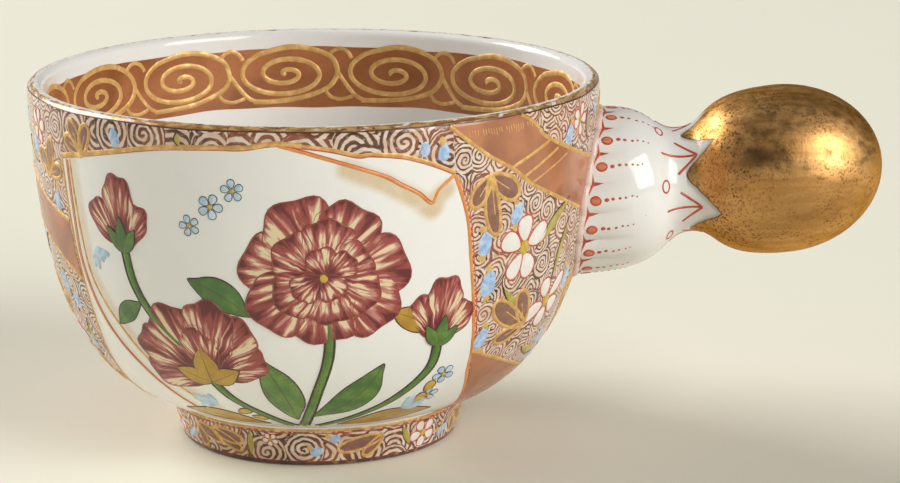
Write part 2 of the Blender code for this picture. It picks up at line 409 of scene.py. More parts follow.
# a coat of enamel between two lines on a surface, with its own map in mm
def coat(name, surface, lineA, lineB, finish, slot, columns, rows, lift=0.03):
    bm = bmesh.new()
    bmesh.ops.create_grid(bm, x_segments=columns, y_segments=rows, size=0.5)
    layer = bm.loops.layers.uv.new("skin")
    spots = {}
    centre = (alongLine(lineA, 0.5)[0] + alongLine(lineB, 0.5)[0]) / 2
    for vert in bm.verts:
        share, across = vert.co.y + 0.5, vert.co.x + 0.5
        a, b = alongLine(lineA, share), alongLine(lineB, share)
        spots[vert] = (a[0] + (b[0] - a[0]) * across, a[1] + (b[1] - a[1]) * across)
    for face in bm.faces:
        for loop in face.loops:
            turn, along = spots[loop.vert]
            loop[layer].uv = (math.radians(turn - centre) * surface.profile(along)[0], along)
    for vert, (turn, along) in spots.items():
        vert.co = surface.at(turn, along, lift)
    middle = bm.faces[:][len(bm.faces) // 2]
    turn, along = spots[middle.verts[0]]
    outward = surface.at(turn, along, 1.0) - surface.at(turn, along, 0.0)
    middle.normal_update()
    if middle.normal.dot(outward) < 0:
        bmesh.ops.reverse_faces(bm, faces=bm.faces[:])
    bmesh.ops.solidify(bm, geom=bm.faces[:], thickness=coatDepth * mm)
    return makePiece(name, meshFrom(bm, name), finish, slot)


# rounds a line of control places into short steps
def rounded(points):
    made = []
    ends = points[:1] + points + points[-1:]
    for p0, p1, p2, p3 in zip(ends, ends[1:], ends[2:], ends[3:]):
        length = math.hypot((p2[0] - p1[0]) * degreeRun, p2[1] - p1[1])
        pieces = max(1, round(length / brush["step"]))
        for i in range(pieces):
            t = i / pieces
            made.append(tuple(
                0.5 * (2 * b + (c - a) * t + (2 * a - 5 * b + 4 * c - d) * t * t
                       + (3 * b - a - 3 * c + d) * t ** 3)
                for a, b, c, d in zip(p0, p1, p2, p3)))
    return made + points[-1:]


# A line shows the top of a sunk round, in half widths; a steady hand changes its pressure slowly.
brush = {"round": 1.6, "sink": 1.3, "steady": 0.72, "pressure": 2.5, "step": 0.4}
stemBrush = {**brush, "round": 1.15, "sink": 0.75}


# brush lines laid on a surface: each run is (line of places, half width in mm, closed, extra lift)
def strokes(name, surface, runs, finish, slot, lift, shake=0.12, sides=3, form=brush):
    curve = bpy.data.curves.new(name, "CURVE")
    curve.dimensions = "3D"
    curve.bevel_depth = mm
    curve.bevel_resolution = sides
    curve.use_fill_caps = True
    for line, half, closed, *more in runs:
        spline = curve.splines.new("POLY")
        spline.points.add(len(line) - 1)
        spline.use_cyclic_u = closed
        press = 0.0
        for k, (turn, along) in enumerate(line):
            press = press * form["steady"] + chance.uniform(-1, 1) * (1.0 - form["steady"])
            width = half * (1.0 + form["pressure"] * shake * press)
            spline.points[k].co = (*surface.at(turn, along, lift + sum(more) - width * form["sink"]), 1.0)
            spline.points[k].radius = width * form["round"]
    drawn = bpy.data.objects.new(name + "_line", curve)
    scene.collection.objects.link(drawn)
    mesh = bpy.data.meshes.new_from_object(drawn.evaluated_get(bpy.context.evaluated_depsgraph_get()))
    bpy.data.objects.remove(drawn)
    mesh.name = name
    mesh.shade_smooth()
    return makePiece(name, mesh, finish, slot)


# outline of a brush dab in mm: x along it, y across; skew fattens one end, tip sharpens both
def dabPoint(dab, x, y):
    taper = (1.0 + dab.get("skew", 0.0) * x) * (1.0 - dab.get("tip", 0.0) * x * x)
    px = dab["long"] / 2 * x
    py = dab["wide"] / 2 * y * taper + dab.get("bend", 0.0) * (1.0 - x * x) * dab["long"] / 2
    wave = dab.get("wave", 0.0)
    if wave:
        a = math.atan2(y, x)
        swing = 1.0 + wave * math.sin(a * dab.get("waves", 5) + dab.get("phase", 0.0))
        px, py = px * swing, py * swing
    a = math.radians(dab["turn"])
    return px * math.cos(a) - py * math.sin(a), px * math.sin(a) + py * math.cos(a)


# outline of a dab, grown a little; half a round gives one of its long sides
def dabEdge(surface, dab, grow, count, rounds=1.0):
    line = []
    for k in range(count if rounds == 1.0 else count + 1):
        a = 2 * math.pi * rounds * k / count
        line.append(surface.near(dab["place"], *dabPoint(dab, grow * math.cos(a), grow * math.sin(a))))
    return line


# low domes of enamel, flat below; the map holds the place inside a dab, x along it and y across
def dabs(name, surface, items, finish, slot, rise, spokes, rings, lift):
    bm = bmesh.new()
    layer = bm.loops.layers.uv.new("skin")
    tint = bm.verts.layers.float.new("tint")
    for dab in items:
        made = bmesh.ops.create_uvsphere(bm, u_segments=spokes, v_segments=rings, radius=1.0)["verts"]
        shade = dab.get("tint", chance.random())
        inner = {}
        for vert in made:
            x, y, z = vert.co
            inner[vert] = (x, y)
            turn, along = surface.near(dab["place"], *dabPoint(dab, x, y))
            height = rise * dab.get("rise", 1.0) * z ** dab.get("crown", 0.8) if z > 0.0 else 0.05 * z
            vert.co = surface.at(turn, along, lift + dab.get("lift", 0.0) + height)
            vert[tint] = shade
        for face in {f for v in made for f in v.link_faces}:
            for loop in face.loops:
                x, y = inner[loop.vert]
                loop[layer].uv = (0.5 + x / 2, 0.5 + y / 2)
    bmesh.ops.recalc_face_normals(bm, faces=bm.faces[:])
    return makePiece(name, meshFrom(bm, name, 80.0), finish, slot)


# one touch of the brush: where it is, how it lies in degrees, and its size in mm
def touch(place, turn, long, wide, **more):
    return {"place": place, "turn": turn, "long": long, "wide": wide, **more}


# a touch that runs from a joint, by its run in mm or by its angle in radians
def lobe(surface, joint, dx, dy, wide, **more):
    middle = surface.near(joint, dx / 2, dy / 2)
    return touch(middle, math.degrees(math.atan2(dy, dx)), math.hypot(dx, dy), wide, **more)


def leaning(surface, joint, angle, long, wide, **more):
    return lobe(surface, joint, long * math.cos(angle), long * math.sin(angle), wide, **more)


# a place at an angle from another
def around(surface, place, angle, reach):
    return surface.near(place, math.cos(angle) * reach, math.sin(angle) * reach)


def turned(line, turn):
    return [(a + turn, q) for a, q in line]


def shifted(line, surface, dx, dy=0.0):
    return [surface.near(p, dx, dy) for p in line]


# a line all round a surface
def ringPlaces(along, count):
    return [(a, along) for a in stopsAlong(-180.0, 180.0, count)]


print("tools ready")

# White porcelain under clear glaze, with ochre washed thinly along the frames of the panels.
glazeLook = {"thin": (0.865, 0.86, 0.83), "thick": (0.84, 0.84, 0.815), "wash": (0.62, 0.43, 0.19),
             "speck": (0.30, 0.20, 0.12), "gloss": 0.09}


def whiteGlaze(name, washed=False):
    made = Finish(name)
    colour = made.glassy(glazeLook["thin"], glazeLook["thick"], glazeLook["gloss"], 0.09, 0.02)
    if washed:
        brushed = made.step(made.noise(0.7, 3.0), 0.2, 0.75, 0.75, 1.0)
        colour = made.mix(made.times(made.attribute("wash"), brushed), colour, glazeLook["wash"])
    spots = made.times(made.specks(0.3, 0.035), 0.6)
    made.set("baseColor", made.mix(spots, colour, glazeLook["speck"]))
    return made


# Burnished gold, cloudy and pitted.
goldLook = {"bright": (0.90, 0.57, 0.215), "deep": (0.60, 0.315, 0.09), "soot": (0.09, 0.045, 0.02),
            "gloss": 0.37}


def goldColour(made):
    cloud = made.step(made.noise(0.8, 5.0, 0.8), 0.32, 0.7)
    colour = made.mix(cloud, goldLook["bright"], goldLook["deep"])
    return made.mix(made.times(made.specks(2.2, 0.16), 0.8), colour, goldLook["soot"])


bowlGlaze = whiteGlaze("bowl_glaze", True)
plainGlaze = whiteGlaze("collar_glaze")


def buildBowl():
    edge, end = bowl["lipEdge"], bowl["wallEnd"]
    stops = stopsAlong(end, edge, 116)[:-1] + stopsAlong(edge, lipStart, 10)[:-1]
    chain = [outside.at(0, along) for along in stopsAlong(outside.keys[-1], end, 12)[:-1]]
    chain += [outside.at(0, along) for along in stops]
    chain += [inside.at(0, along) for along in stopsAlong(lipStart, edge, 10)]
    chain += [inside.at(0, along) for along in stopsAlong(edge, inside.keys[-1], 60)[1:]]
    bm = spinChain(chain, False, Vector(cupAxis) * mm, up, bowl["turns"])
    return meshFrom(bm, "glazed_bowl", 60.0)


bowlMesh = buildBowl()
makePiece("glazed_bowl", bowlMesh, bowlGlaze, "bowl_glaze", "bowl")


def buildFootRing():
    topZ = footSide.points[0][1] + foot["gap"] + 0.1
    inner = foot["topRadius"] - foot["wall"]
    baseInner = foot["baseRadius"] - foot["wall"]
    points = [(foot["topRadius"] + 0.05, topZ)] + footSide.points
    points += [(baseInner + foot["edge"], footSide.points[-1][1]), (baseInner + 0.2, 0.25),
               (baseInner, foot["edge"])]
    points += [(inner, topZ - 0.85), (inner + foot["wall"] / 2, topZ - 0.45)]
    chain = [Vector((bowl["axisX"] + r, 0, h)) * mm for r, h in points]
    bm = spinChain(chain, True, Vector(cupAxis) * mm, up, foot["turns"])
    return meshFrom(bm, "foot_ring_body", 35.0)


makePiece("foot_ring_body", buildFootRing(), whiteGlaze("foot_glaze"), "foot_enamel", "foot_ring")


# the collar's skin from the wall to the neck, fine enough for its petals
def buildCollar():
    bm = bmesh.new()
    bmesh.ops.create_grid(bm, x_segments=handle["lobes"] * 14, y_segments=56, size=0.5)
    for vert in bm.verts:
        turn = vert.co.x * 360.0
        low = saddleAt(turn) - 0.25
        share = vert.co.y + 0.5
        vert.co = collarSide.at(turn, low + (collarEnd - low) * share)
    bmesh.ops.remove_doubles(bm, verts=bm.verts[:], dist=0.005 * mm)
    bmesh.ops.recalc_face_normals(bm, faces=bm.faces[:])
    bm.faces.ensure_lookup_table()
    probe = bm.faces[0]
    offset = (probe.calc_center_median() / mm - handleRoot)
    radial = offset - handleAxis * offset.dot(handleAxis)
    if probe.normal.dot(radial) < 0:
        bmesh.ops.reverse_faces(bm, faces=bm.faces[:])
    bmesh.ops.solidify(bm, geom=bm.faces[:], thickness=1.2 * mm)
    return meshFrom(bm, "lobed_collar", 50.0)


makePiece("lobed_collar", buildCollar(), plainGlaze, "collar_glaze", "handle_collar")


# Ball: white sepals of the collar run on to it, and the gold begins at their zigzag edge.
ballLook = {"points": 6, "firstPoint": -68.0, "notch": 11.6, "tip": 15.3, "curve": 1.4, "ragged": 0.25,
            "outline": (0.12, 0.08, 0.06), "grey": (0.42, 0.40, 0.39), "paintedShade": 0.75, "swing": 8.0,
            "bright": (0.86, 0.50, 0.19), "deep": (0.62, 0.325, 0.105), "dark": (0.26, 0.115, 0.04),
            "edge": (0.66, 0.48, 0.30), "rubbedTurn": -112.0, "rubbedAlong": 20.4, "streak": (0.3, 1.0, 1.3),
            "turns": 144}


def ballFinish():
    made = Finish("ball_gilding")
    turn, along, _ = made.split(made.uv())
    lean = made.math("SINE", made.times(made.minus(turn, ballLook["firstPoint"]), -math.pi / 90))
    drawn = made.math("MULTIPLY_ADD", lean, ballLook["swing"], turn)    # points a little uneven, as by hand
    phase = made.math("DIVIDE", made.minus(drawn, ballLook["firstPoint"]), 360.0 / ballLook["points"])
    nearTip = made.minus(1.0, made.times(made.math("PINGPONG", phase, 0.5), 2.0))
    reach = made.times(made.math("POWER", nearTip, ballLook["curve"]), ballLook["tip"] - ballLook["notch"])
    wander = made.times(made.minus(made.noise(0.9, 3.0), 0.5), ballLook["ragged"] * 2)
    edge = made.minus(along, made.plus(made.plus(reach, ballLook["notch"]), wander))
    gilded = made.step(edge, -0.04, 0.04)
    line = made.times(made.step(edge, -0.2, -0.05), made.step(edge, 0.02, 0.14, 1.0, 0.0))
    white = made.glassy(glazeLook["thin"], glazeLook["thick"], glazeLook["gloss"], 0.09, 0.02)
    cloud = made.step(made.noise(0.2, 5.0, 0.3, stretch=ballLook["streak"]), 0.3, 0.7)
    gold = made.mix(cloud, ballLook["bright"], ballLook["deep"])
    # brushed streaks of darker gold, stronger towards the upper side; their share underneath is painted
    # reflection, darkening the gold where it would mirror the shaded floor
    brushed = made.step(made.noise(1.3, 4.0, stretch=(0.08, 1.0, 1.0)), 0.36, 0.76)
    top = made.step(made.math("ABSOLUTE", turn), 80.0, 165.0, 0.34, 0.6)     # darker towards the upper side; the share underneath is painted reflection
    gold = made.mix(made.times(brushed, top), gold, ballLook["dark"])
    sideways = made.times(made.minus(turn, ballLook["rubbedTurn"]), 0.3)
    over = made.times(made.minus(along, ballLook["rubbedAlong"]), 0.72)
    away = made.vector("LENGTH", made.add("ShaderNodeCombineXYZ", {0: sideways, 1: over}).outputs[0])
    near = made.step(made.plus(away, made.noise(0.7, 5.0)), 0.8, 3.5, 1.0, 0.0)
    smudge = made.step(made.noise(0.15, 5.0, 0.4, stretch=ballLook["streak"]), 0.54, 0.78, 0.0, 0.25)
    smudge = made.math("MAXIMUM", smudge, made.times(near, 0.8))
    gold = made.mix(smudge, gold, goldLook["soot"])
    clustered = made.plus(made.step(along, 15.0, 25.0, 0.75, 0.2),
                          made.step(made.noise(0.25, 4.0), 0.42, 0.62, 0.0, 0.65))
    grit = made.times(made.step(made.noise(3.0, 5.0), 0.52, 0.62), clustered)
    gold = made.mix(made.times(grit, 0.85), gold, ballLook["dark"])
    pits = made.times(made.math("MAXIMUM", made.specks(1.5, 0.14), made.specks(3.1, 0.22)), clustered)
    gold = made.mix(made.times(pits, 0.8), gold, goldLook["soot"])
    # painted shade: the white glaze is greyed towards the gold's zigzag edge, standing in for shade and for
    # the dark gold reflected there
    shade = made.times(made.step(edge, -1.1, -0.1), ballLook["paintedShade"])
    white = made.mix(shade, white, ballLook["grey"])
    colour = made.mix(gilded, white, gold)
    made.set("baseColor", made.mix(made.times(line, 0.85), colour, ballLook["outline"]))
    made.set("metallic", made.times(gilded, made.minus(1.0, made.times(pits, 0.6))))
    made.set("specularTint", (*ballLook["edge"], 1.0))
    worn = made.step(made.noise(0.8, 5.0), 0.25, 0.75, goldLook["gloss"] * 0.8, goldLook["gloss"] * 1.4)
    made.set("roughness", made.plus(made.times(gilded, worn),
                                    made.times(made.minus(1.0, gilded), glazeLook["gloss"])))
    grain = made.plus(made.noise(4.0, 4.0), made.times(pits, -1.5))
    made.bump(grain, 0.02)
    return made


def buildBall():
    stops = stopsAlong(collarEnd, widest + 9.0, 60)
    chain = [(handleRoot + handleAxis * collarEnd) * mm] + [ballSide.at(-90, along) for along in stops]
    nose = ballSide.keys[-1] - stops[-1]
    chain += [ballSide.at(-90, stops[-1] + nose * math.sin(math.pi / 2 * k / 24)) for k in range(1, 25)]
    bm = spinChain(chain, False, handleRoot * mm, handleAxis, ballLook["turns"])
    layer = bm.loops.layers.uv.new("skin")
    side = handleAxis.cross(handleDown)
    for face in bm.faces:
        offsets = [loop.vert.co / mm - handleRoot for loop in face.loops]
        turns = [math.degrees(math.atan2(p.dot(side), p.dot(handleDown))) for p in offsets]
        wraps = max(turns) - min(turns) > 180.0
        for loop, offset, turn in zip(face.loops, offsets, turns):
            loop[layer].uv = (turn + 360.0 if wraps and turn < 0 else turn, offset.dot(handleAxis))
    return meshFrom(bm, "gilded_ball", 60.0)


makePiece("gilded_ball", buildBall(), ballFinish(), "ball_gilding", "ball_knob")
print("bodies glazed")

# Enamels of the painting. Each is a thin glassy coat with cloudy thickness.
enamels = {
    "salmon": {"thin": (0.52, 0.21, 0.102), "thick": (0.33, 0.128, 0.063), "gloss": 0.2, "patch": 0.16},
    "umber": {"thin": (0.30, 0.15, 0.105), "thick": (0.22, 0.10, 0.07), "gloss": 0.2, "patch": 0.9},
    "blue": {"thin": (0.52, 0.66, 0.84), "thick": (0.27, 0.43, 0.70), "gloss": 0.12, "patch": 1.4},
    "white": {"thin": (0.86, 0.83, 0.79), "thick": (0.80, 0.74, 0.70), "gloss": 0.12, "patch": 0.9},
    "yellow": {"thin": (0.66, 0.46, 0.07), "thick": (0.50, 0.33, 0.04), "gloss": 0.14, "patch": 0.9},
    "olive": {"thin": (0.50, 0.42, 0.08), "thick": (0.33, 0.28, 0.045), "gloss": 0.14, "patch": 0.6},
    "orange": {"thin": (0.80, 0.33, 0.09), "thick": (0.66, 0.22, 0.05), "gloss": 0.2, "patch": 0.6},
    "red": {"thin": (0.62, 0.12, 0.06), "thick": (0.47, 0.075, 0.04), "gloss": 0.2, "patch": 0.8},
    "sepia": {"thin": (0.075, 0.038, 0.03), "thick": (0.045, 0.024, 0.02), "gloss": 0.25, "patch": 0.8},
    "brownRed": {"thin": (0.33, 0.085, 0.05), "thick": (0.22, 0.05, 0.03), "gloss": 0.2, "patch": 0.8},
    "coral": {"thin": (0.76, 0.30, 0.16), "thick": (0.60, 0.17, 0.08), "gloss": 0.18, "patch": 1.2},
    "ochre": {"thin": (0.72, 0.47, 0.17), "thick": (0.58, 0.34, 0.10), "gloss": 0.25, "patch": 0.7},
}


def enamelFinish(key):
    look = enamels[key]
    made = Finish(key + "_enamel")
    made.set("baseColor", made.glassy(look["thin"], look["thick"], look["gloss"], look["patch"], 0.015))
    return made


enamel = {key: enamelFinish(key) for key in enamels}


# gold laid over ochre, rubbed through in places
def goldLineFinish():
    made = Finish("gold_line")
    rubbed = made.step(made.noise(0.9, 4.0), 0.38, 0.62)
    gold = goldColour(made)
    made.set("baseColor", made.mix(made.times(rubbed, 0.7), gold, enamels["ochre"]["thick"]))
    made.set("metallic", made.minus(0.36, made.times(rubbed, 0.3)))
    made.set("roughness", made.step(made.noise(1.5, 3.0), 0.2, 0.8, 0.34, 0.52))
    made.bump(made.noise(3.0, 3.0), 0.04)
    return made


goldLine = goldLineFinish()

# Brocade ground: packed spirals, drawn with a fine brush on a pinkish white coat.
brocadeLook = {"ground": (0.69, 0.48, 0.365), "pale": (0.82, 0.695, 0.585), "sepia": (0.105, 0.041, 0.025),
               "rust": (0.27, 0.085, 0.04), "cell": 3.8, "disc": 0.49, "pitch": 0.53, "line": 0.39,
               "wobble": 0.42}


def spiralLines(made, where, cell, pitch, line):
    cells = made.add("ShaderNodeTexVoronoi", {"Vector": where, "Scale": 1.0 / cell, "Randomness": 0.62},
                     voronoi_dimensions="2D")
    arm = made.vector("SUBTRACT", where, cells.outputs["Position"])
    x, y, _ = made.split(arm)
    angle = made.math("DIVIDE", made.math("ARCTAN2", y, x), 2 * math.pi)
    own = made.add("ShaderNodeSeparateColor", {0: cells.outputs["Color"]})
    hand = made.minus(made.times(made.math("GREATER_THAN", own.outputs[0], 0.5), 2.0), 1.0)
    reach = made.vector("LENGTH", made.vector("MULTIPLY", arm, (1.0, 1.0, 0.0)))
    start = made.math("MULTIPLY_ADD", hand, angle, own.outputs[1])
    phase = made.plus(made.math("DIVIDE", reach, pitch), start)
    wave = made.times(made.math("PINGPONG", phase, 0.5), 2.0)
    width = made.step(made.noise(0.8, 2.0, where=where), 0.25, 0.75, line * 0.8, line * 1.2)
    edge = made.minus(wave, width)
    return made.step(edge, -0.12, 0.12, 1.0, 0.0), reach


def brocadeFinish(name, shift, size=1.0, line=brocadeLook["line"]):
    made = Finish(name)
    cell, pitch = brocadeLook["cell"] * size, brocadeLook["pitch"] * size
    disc = cell * brocadeLook["disc"]
    plain = made.vector("MULTIPLY", made.vector("ADD", made.uv(), (shift, shift * 0.7, 0.0)), (1.0, 1.0, 0.0))
    drift = made.add("ShaderNodeTexNoise", {"Vector": plain, "Scale": 0.55, "Detail": 2.0})
    sway = made.vector("SCALE", made.vector("SUBTRACT", drift.outputs["Color"], (0.5, 0.5, 0.5)),
                       scale=brocadeLook["wobble"] * 2)
    where = made.vector("MULTIPLY", made.vector("ADD", plain, sway), (1.0, 1.0, 0.0))
    upper, reach = spiralLines(made, where, cell, pitch, line)
    under, _ = spiralLines(made, made.vector("ADD", where, (31.7, 12.9, 0.0)), cell * 0.9, pitch * 1.05, line)
    covered = made.step(reach, disc - 0.03, disc + 0.03, 1.0, 0.0)
    rim = made.times(made.step(reach, disc - 0.14, disc - 0.06),
                    made.step(reach, disc + 0.06, disc + 0.14, 1.0, 0.0))
    lines = made.plus(made.times(upper, covered),
                      made.times(under, made.minus(1.0, covered)))
    lines = made.math("MAXIMUM", lines, rim)
    ground = made.glassy(brocadeLook["ground"], brocadeLook["pale"], 0.16, 0.6, 0.02)
    ink = made.mix(made.step(made.noise(0.16, 2.0), 0.4, 0.6), brocadeLook["sepia"], brocadeLook["rust"])
    worn = made.step(made.noise(1.6, 4.0), 0.22, 0.5, 0.55, 1.0)
    made.set("baseColor", made.mix(made.times(lines, worn), ground, ink))
    return made


# Lines that part the outside: the white panel, the brocade beside it and the strip over it (turn, along).
paintTop = bowl["paintTop"]
panel = {
    "right": [(29.0, paintTop), (29.8, 5.65), (32.8, 10.76), (34.7, 17.14), (36.6, 22.34), (38.9, 28.31),
              (40.5, 32.25), (44.9, 37.2), (47.5, 40.2), (49.0, 44.6)],
    "left": [(-55.6, paintTop), (-55.6, 5.4), (-54.7, 14.4), (-54.1, 22.0), (-54.8, 27.5), (-58.8, 37.2),
             (-62.0, 44.6)],
    "middle": [(-53.9, 5.65), (-53.4, 12.0), (-53.0, 18.5), (-49.5, 25.5), (-41.8, 31.9), (-34.2, 37.4),
               (-31.5, 39.3)],
    "inner": [(-52.6, 5.5), (-51.4, 13.9), (-49.8, 20.2), (-43.6, 26.2), (-36.9, 31.3), (-29.3, 35.7),
              (-27.4, 36.7)],
    "foot": [(-31.5, 39.3), (-29.6, 37.9), (-27.4, 36.7)],
    "top": [(-55.6, 5.35), (-42.1, 3.75), (-28.0, 2.2), (-17.0, 1.7), (-10.8, 1.6), (-4.7, 1.02), (0.4, 1.29),
            (5.5, 1.73), (10.6, 2.48), (13.1, 2.4), (18.8, 2.83), (22.3, 3.44), (25.7, 4.2), (29.6, 5.3)],
    "fold": [(-4.0, 1.3), (0.6, 2.06), (3.9, 2.68), (7.1, 3.3), (9.4, 3.75), (15.6, 5.1), (18.6, 6.15),
             (22.2, 7.35), (25.0, 8.66), (26.3, 7.2), (29.6, 5.6)],
    "shade": [(8.4, 3.3), (12.6, 4.4), (15.6, 5.1), (18.6, 6.15), (22.2, 7.35), (25.0, 8.66), (26.3, 7.2),
              (28.0, 6.4)],
}
halves = {"front": 0.0, "back": 180.0}      # the painting is the same on both sides of the cup
# where each ground starts in the endless brocade, and how much larger the strip's spirals are
groundLook = {"near": 7.0, "far": 23.0, "strip": 41.0, "apart": 50.0, "stripSize": 1.55, "stripLine": 0.5}


def paintGround():
    for k, (side, turn) in enumerate(halves.items()):
        apart = groundLook["apart"] * k
        near, far = turned(panel["right"], turn), turned(panel["left"], turn + 180.0)
        half = []
        for share in stopsAlong(0.0, 1.0, 8):
            (a, q), (b, r) = alongLine(near, share), alongLine(far, share)
            half.append(((a + b) / 2, (q + r) / 2))
        for part, lineA, lineB in (("near", near, half), ("far", half, far)):
            name = "brocade_%s_%s" % (part, side)
            finish = brocadeFinish(name, groundLook[part] + apart)
            coat(name, outside, lineA, lineB, finish, "bowl_glaze", 70, 110)
        rim = [(a + turn, paintTop) for a in stopsAlong(panel["left"][0][0], panel["right"][0][0], 24)]
        name = "brocade_strip_" + side
        finish = brocadeFinish(name, groundLook["strip"] + apart, groundLook["stripSize"],
                               groundLook["stripLine"])
        coat(name, outside, rim, turned(panel["top"], turn), finish, "bowl_glaze", 12, 140)


paintGround()
print("brocade ground painted")

# Salmon bands across the brocade, with gold edges, hatching and short ticks under the rim.
bands = {
    "upper": [(28.5, paintTop), (37.0, paintTop), (45.3, paintTop), (49.5, 1.3), (53.9, 3.4), (71.0, 7.23),
              (80.0, 8.2), (90.0, 8.3), (98.0, 8.7), (110.4, 11.2), (124.6, 13.3)],
    "lower": [(28.4, paintTop + 0.1), (31.0, 1.2), (37.5, 4.02), (43.6, 6.05), (50.9, 8.89), (66.4, 12.74),
              (76.0, 14.5), (88.0, 14.8), (98.0, 15.0), (112.0, 17.2), (125.4, 20.4)],
    "wedgeTop": [(38.9, 28.6), (50.0, 31.2), (63.6, 34.2), (76.0, 36.2)],
    "wedgeBottom": [(39.0, 28.9), (43.0, 35.0), (47.6, 40.5), (52.0, 44.5)],
    "hatch": [([(42.8, 5.95), (53.9, 3.7)], 0.23), ([(47.0, 7.2), (57.3, 4.83)], 0.2),
              ([(49.5, 8.15), (61.1, 5.9)], 0.12)],
    "lift": 0.05, "edge": 0.26,
    "ticks": 26, "tickTurn": 32.5, "tickStep": 0.62, "tickAlong": 0.75, "tickLean": 0.18,
    "tickReach": (0.45, 0.95), "tick": 0.045, "missing": 4, "group": 9,
}
gildedRuns, hatchRuns, tickRuns = [], [], []


def paintBands():
    for side, turn in halves.items():
        upper, lower, wedgeTop, wedgeBottom = (
            turned(bands[key], turn) for key in ("upper", "lower", "wedgeTop", "wedgeBottom"))
        coat("salmon_band_" + side, outside, upper, lower, enamel["salmon"], "bowl_glaze", 20, 110,
             bands["lift"])
        coat("salmon_wedge_" + side, outside, wedgeTop, wedgeBottom, enamel["salmon"], "bowl_glaze", 24, 40,
             bands["lift"])
        gildedRuns.extend((rounded(line), bands["edge"], False) for line in (lower, wedgeTop, upper[2:]))
        hatchRuns.extend((rounded(turned(line, turn)), half, False) for line, half in bands["hatch"])
        for n in range(bands["ticks"]):
            tip = (bands["tickTurn"] + n * bands["tickStep"] + turn, bands["tickAlong"])
            if n % bands["group"] != bands["missing"]:
                end = outside.near(tip, bands["tickLean"], chance.uniform(*bands["tickReach"]))
                tickRuns.append(([tip, end], bands["tick"], False))


paintBands()
print("bands painted")

# Motifs scattered on the brocade: (turn, along) and run in mm, all read from the joint outwards.
motifs = {
    "sprigs": [
        {"joint": (37.9, 6.5), "lobes": [(-2.3, 3.2, 2.1), (4.3, 2.7, 2.6), (1.3, 6.9, 2.1)]},
        {"joint": (53.8, 26.6), "lobes": [(-2.2, -4.8, 2.4), (-6.2, -4.0, 2.6), (-4.4, 1.3, 1.9)]},
        {"joint": (74.0, 24.6), "lobes": [(3.4, -3.0, 2.2), (4.8, 1.0, 2.4), (2.6, 4.2, 2.0)]},
        {"joint": (88.5, 1.6), "lobes": [(-3.6, 2.2, 2.1), (0.2, 4.4, 2.0), (3.8, 2.0, 2.1)]},
        {"joint": (103.0, 27.5), "lobes": [(-3.8, -2.6, 2.3), (0.0, -4.8, 2.2), (3.8, -2.4, 2.3)]},
        {"joint": (118.5, 8.2), "lobes": [(-3.2, -2.4, 2.0), (0.6, -4.2, 1.9), (3.0, -1.0, 1.7)]},
        {"joint": (112.0, 36.5), "lobes": [(-3.2, -1.6, 1.9), (0.2, -3.6, 1.9), (3.2, -1.4, 1.8)]},
        {"joint": (-48.0, 4.5), "lobes": [(-3.2, -1.6, 1.6), (-2.0, -3.6, 1.6), (1.3, -3.5, 1.8)]},
    ],
    "petals": [(45.5, 11.5, 120, 2.5), (37.5, 14.5, 95, 2.6), (39.5, 19.6, 95, 3.0), (40.7, 27.1, 105, 2.6),
               (70.7, 22.6, 100, 2.6), (67.8, 30.3, 110, 2.4), (61.9, 3.9, 115, 2.4),
               (113.8, 22.2, 80, 2.6), (118.6, 24.1, 100, 2.4), (110.0, 5.4, 60, 2.4), (120.4, 11.2, 90, 2.3),
               (95.0, 32.5, 90, 2.5), (84.0, 33.6, 80, 2.4), (117.5, 30.0, 95, 2.3), (103.6, 18.0, 120, 2.4),
               (80.0, 19.5, 70, 2.4), (-38.1, 1.7, 80, 2.0), (23.4, 2.3, 90, 1.6), (27.2, 2.8, 95, 1.9),
               (78.0, 2.4, 30, 2.0), (99.5, 3.0, 120, 2.2), (72.5, 33.8, 100, 2.0)],
    "blossoms": [(48.5, 16.0, 4.0, 5, 55), (61.6, 24.4, 3.9, 5, 20), (66.6, 2.5, 2.0, 5, 10),
                 (108.6, 31.6, 3.1, 6, 20), (113.0, 3.0, 2.3, 5, 0), (95.5, 23.5, 3.2, 6, 50),
                 (81.0, 28.6, 3.0, 6, 0), (91.5, 38.2, 2.6, 5, 30), (73.5, 38.4, 2.4, 5, 0)],
    "leaves": [((63.8, 11.6), -6.6, 5.0, 1.5), ((65.0, 14.2), -2.0, 7.6, 1.2), ((71.0, 1.6), 0.2, 3.4, 0.9),
               ((99.0, 20.0), 4.4, -3.0, 1.2), ((86.0, 24.0), 0.6, 6.0, 1.2), ((120.0, 26.5), -1.2, 5.6, 1.1),
               ((103.0, 5.2), 4.6, 2.4, 1.1), ((58.5, 30.5), 5.0, 2.2, 1.1), ((88.0, 19.0), 4.2, 3.2, 1.2),
               ((104.0, 34.5), 3.8, 2.6, 1.1), ((-23.6, 0.3), 0.2, 1.5, 0.8), ((44.0, 20.6), 3.2, 3.0, 0.9)],
    "rimRoom": 1.4, "stripRoom": 2.4,
    "sprigLine": 0.24, "veinLine": 0.09, "vein": (0.1, 0.3, 0.5, 0.66), "blossomLine": 0.105,
    "leafLine": 0.08, "dots": 4, "dot": (0.55, 0.32), "dab": (1.3, 0.9),
}
fillColours = ("umber", "blue", "white", "yellow", "olive", "sepia", "ochre")
fills = {key: [] for key in fillColours}
outlineRuns = {"gold": [], "red": [], "sepia": []}


# small dabs keep clear of the rim, and those of the strip keep off the panel
def hasRoom(a, spot):
    return motifs["rimRoom"] < spot[1] and (a > panel["right"][0][0] or spot[1] < motifs["stripRoom"])


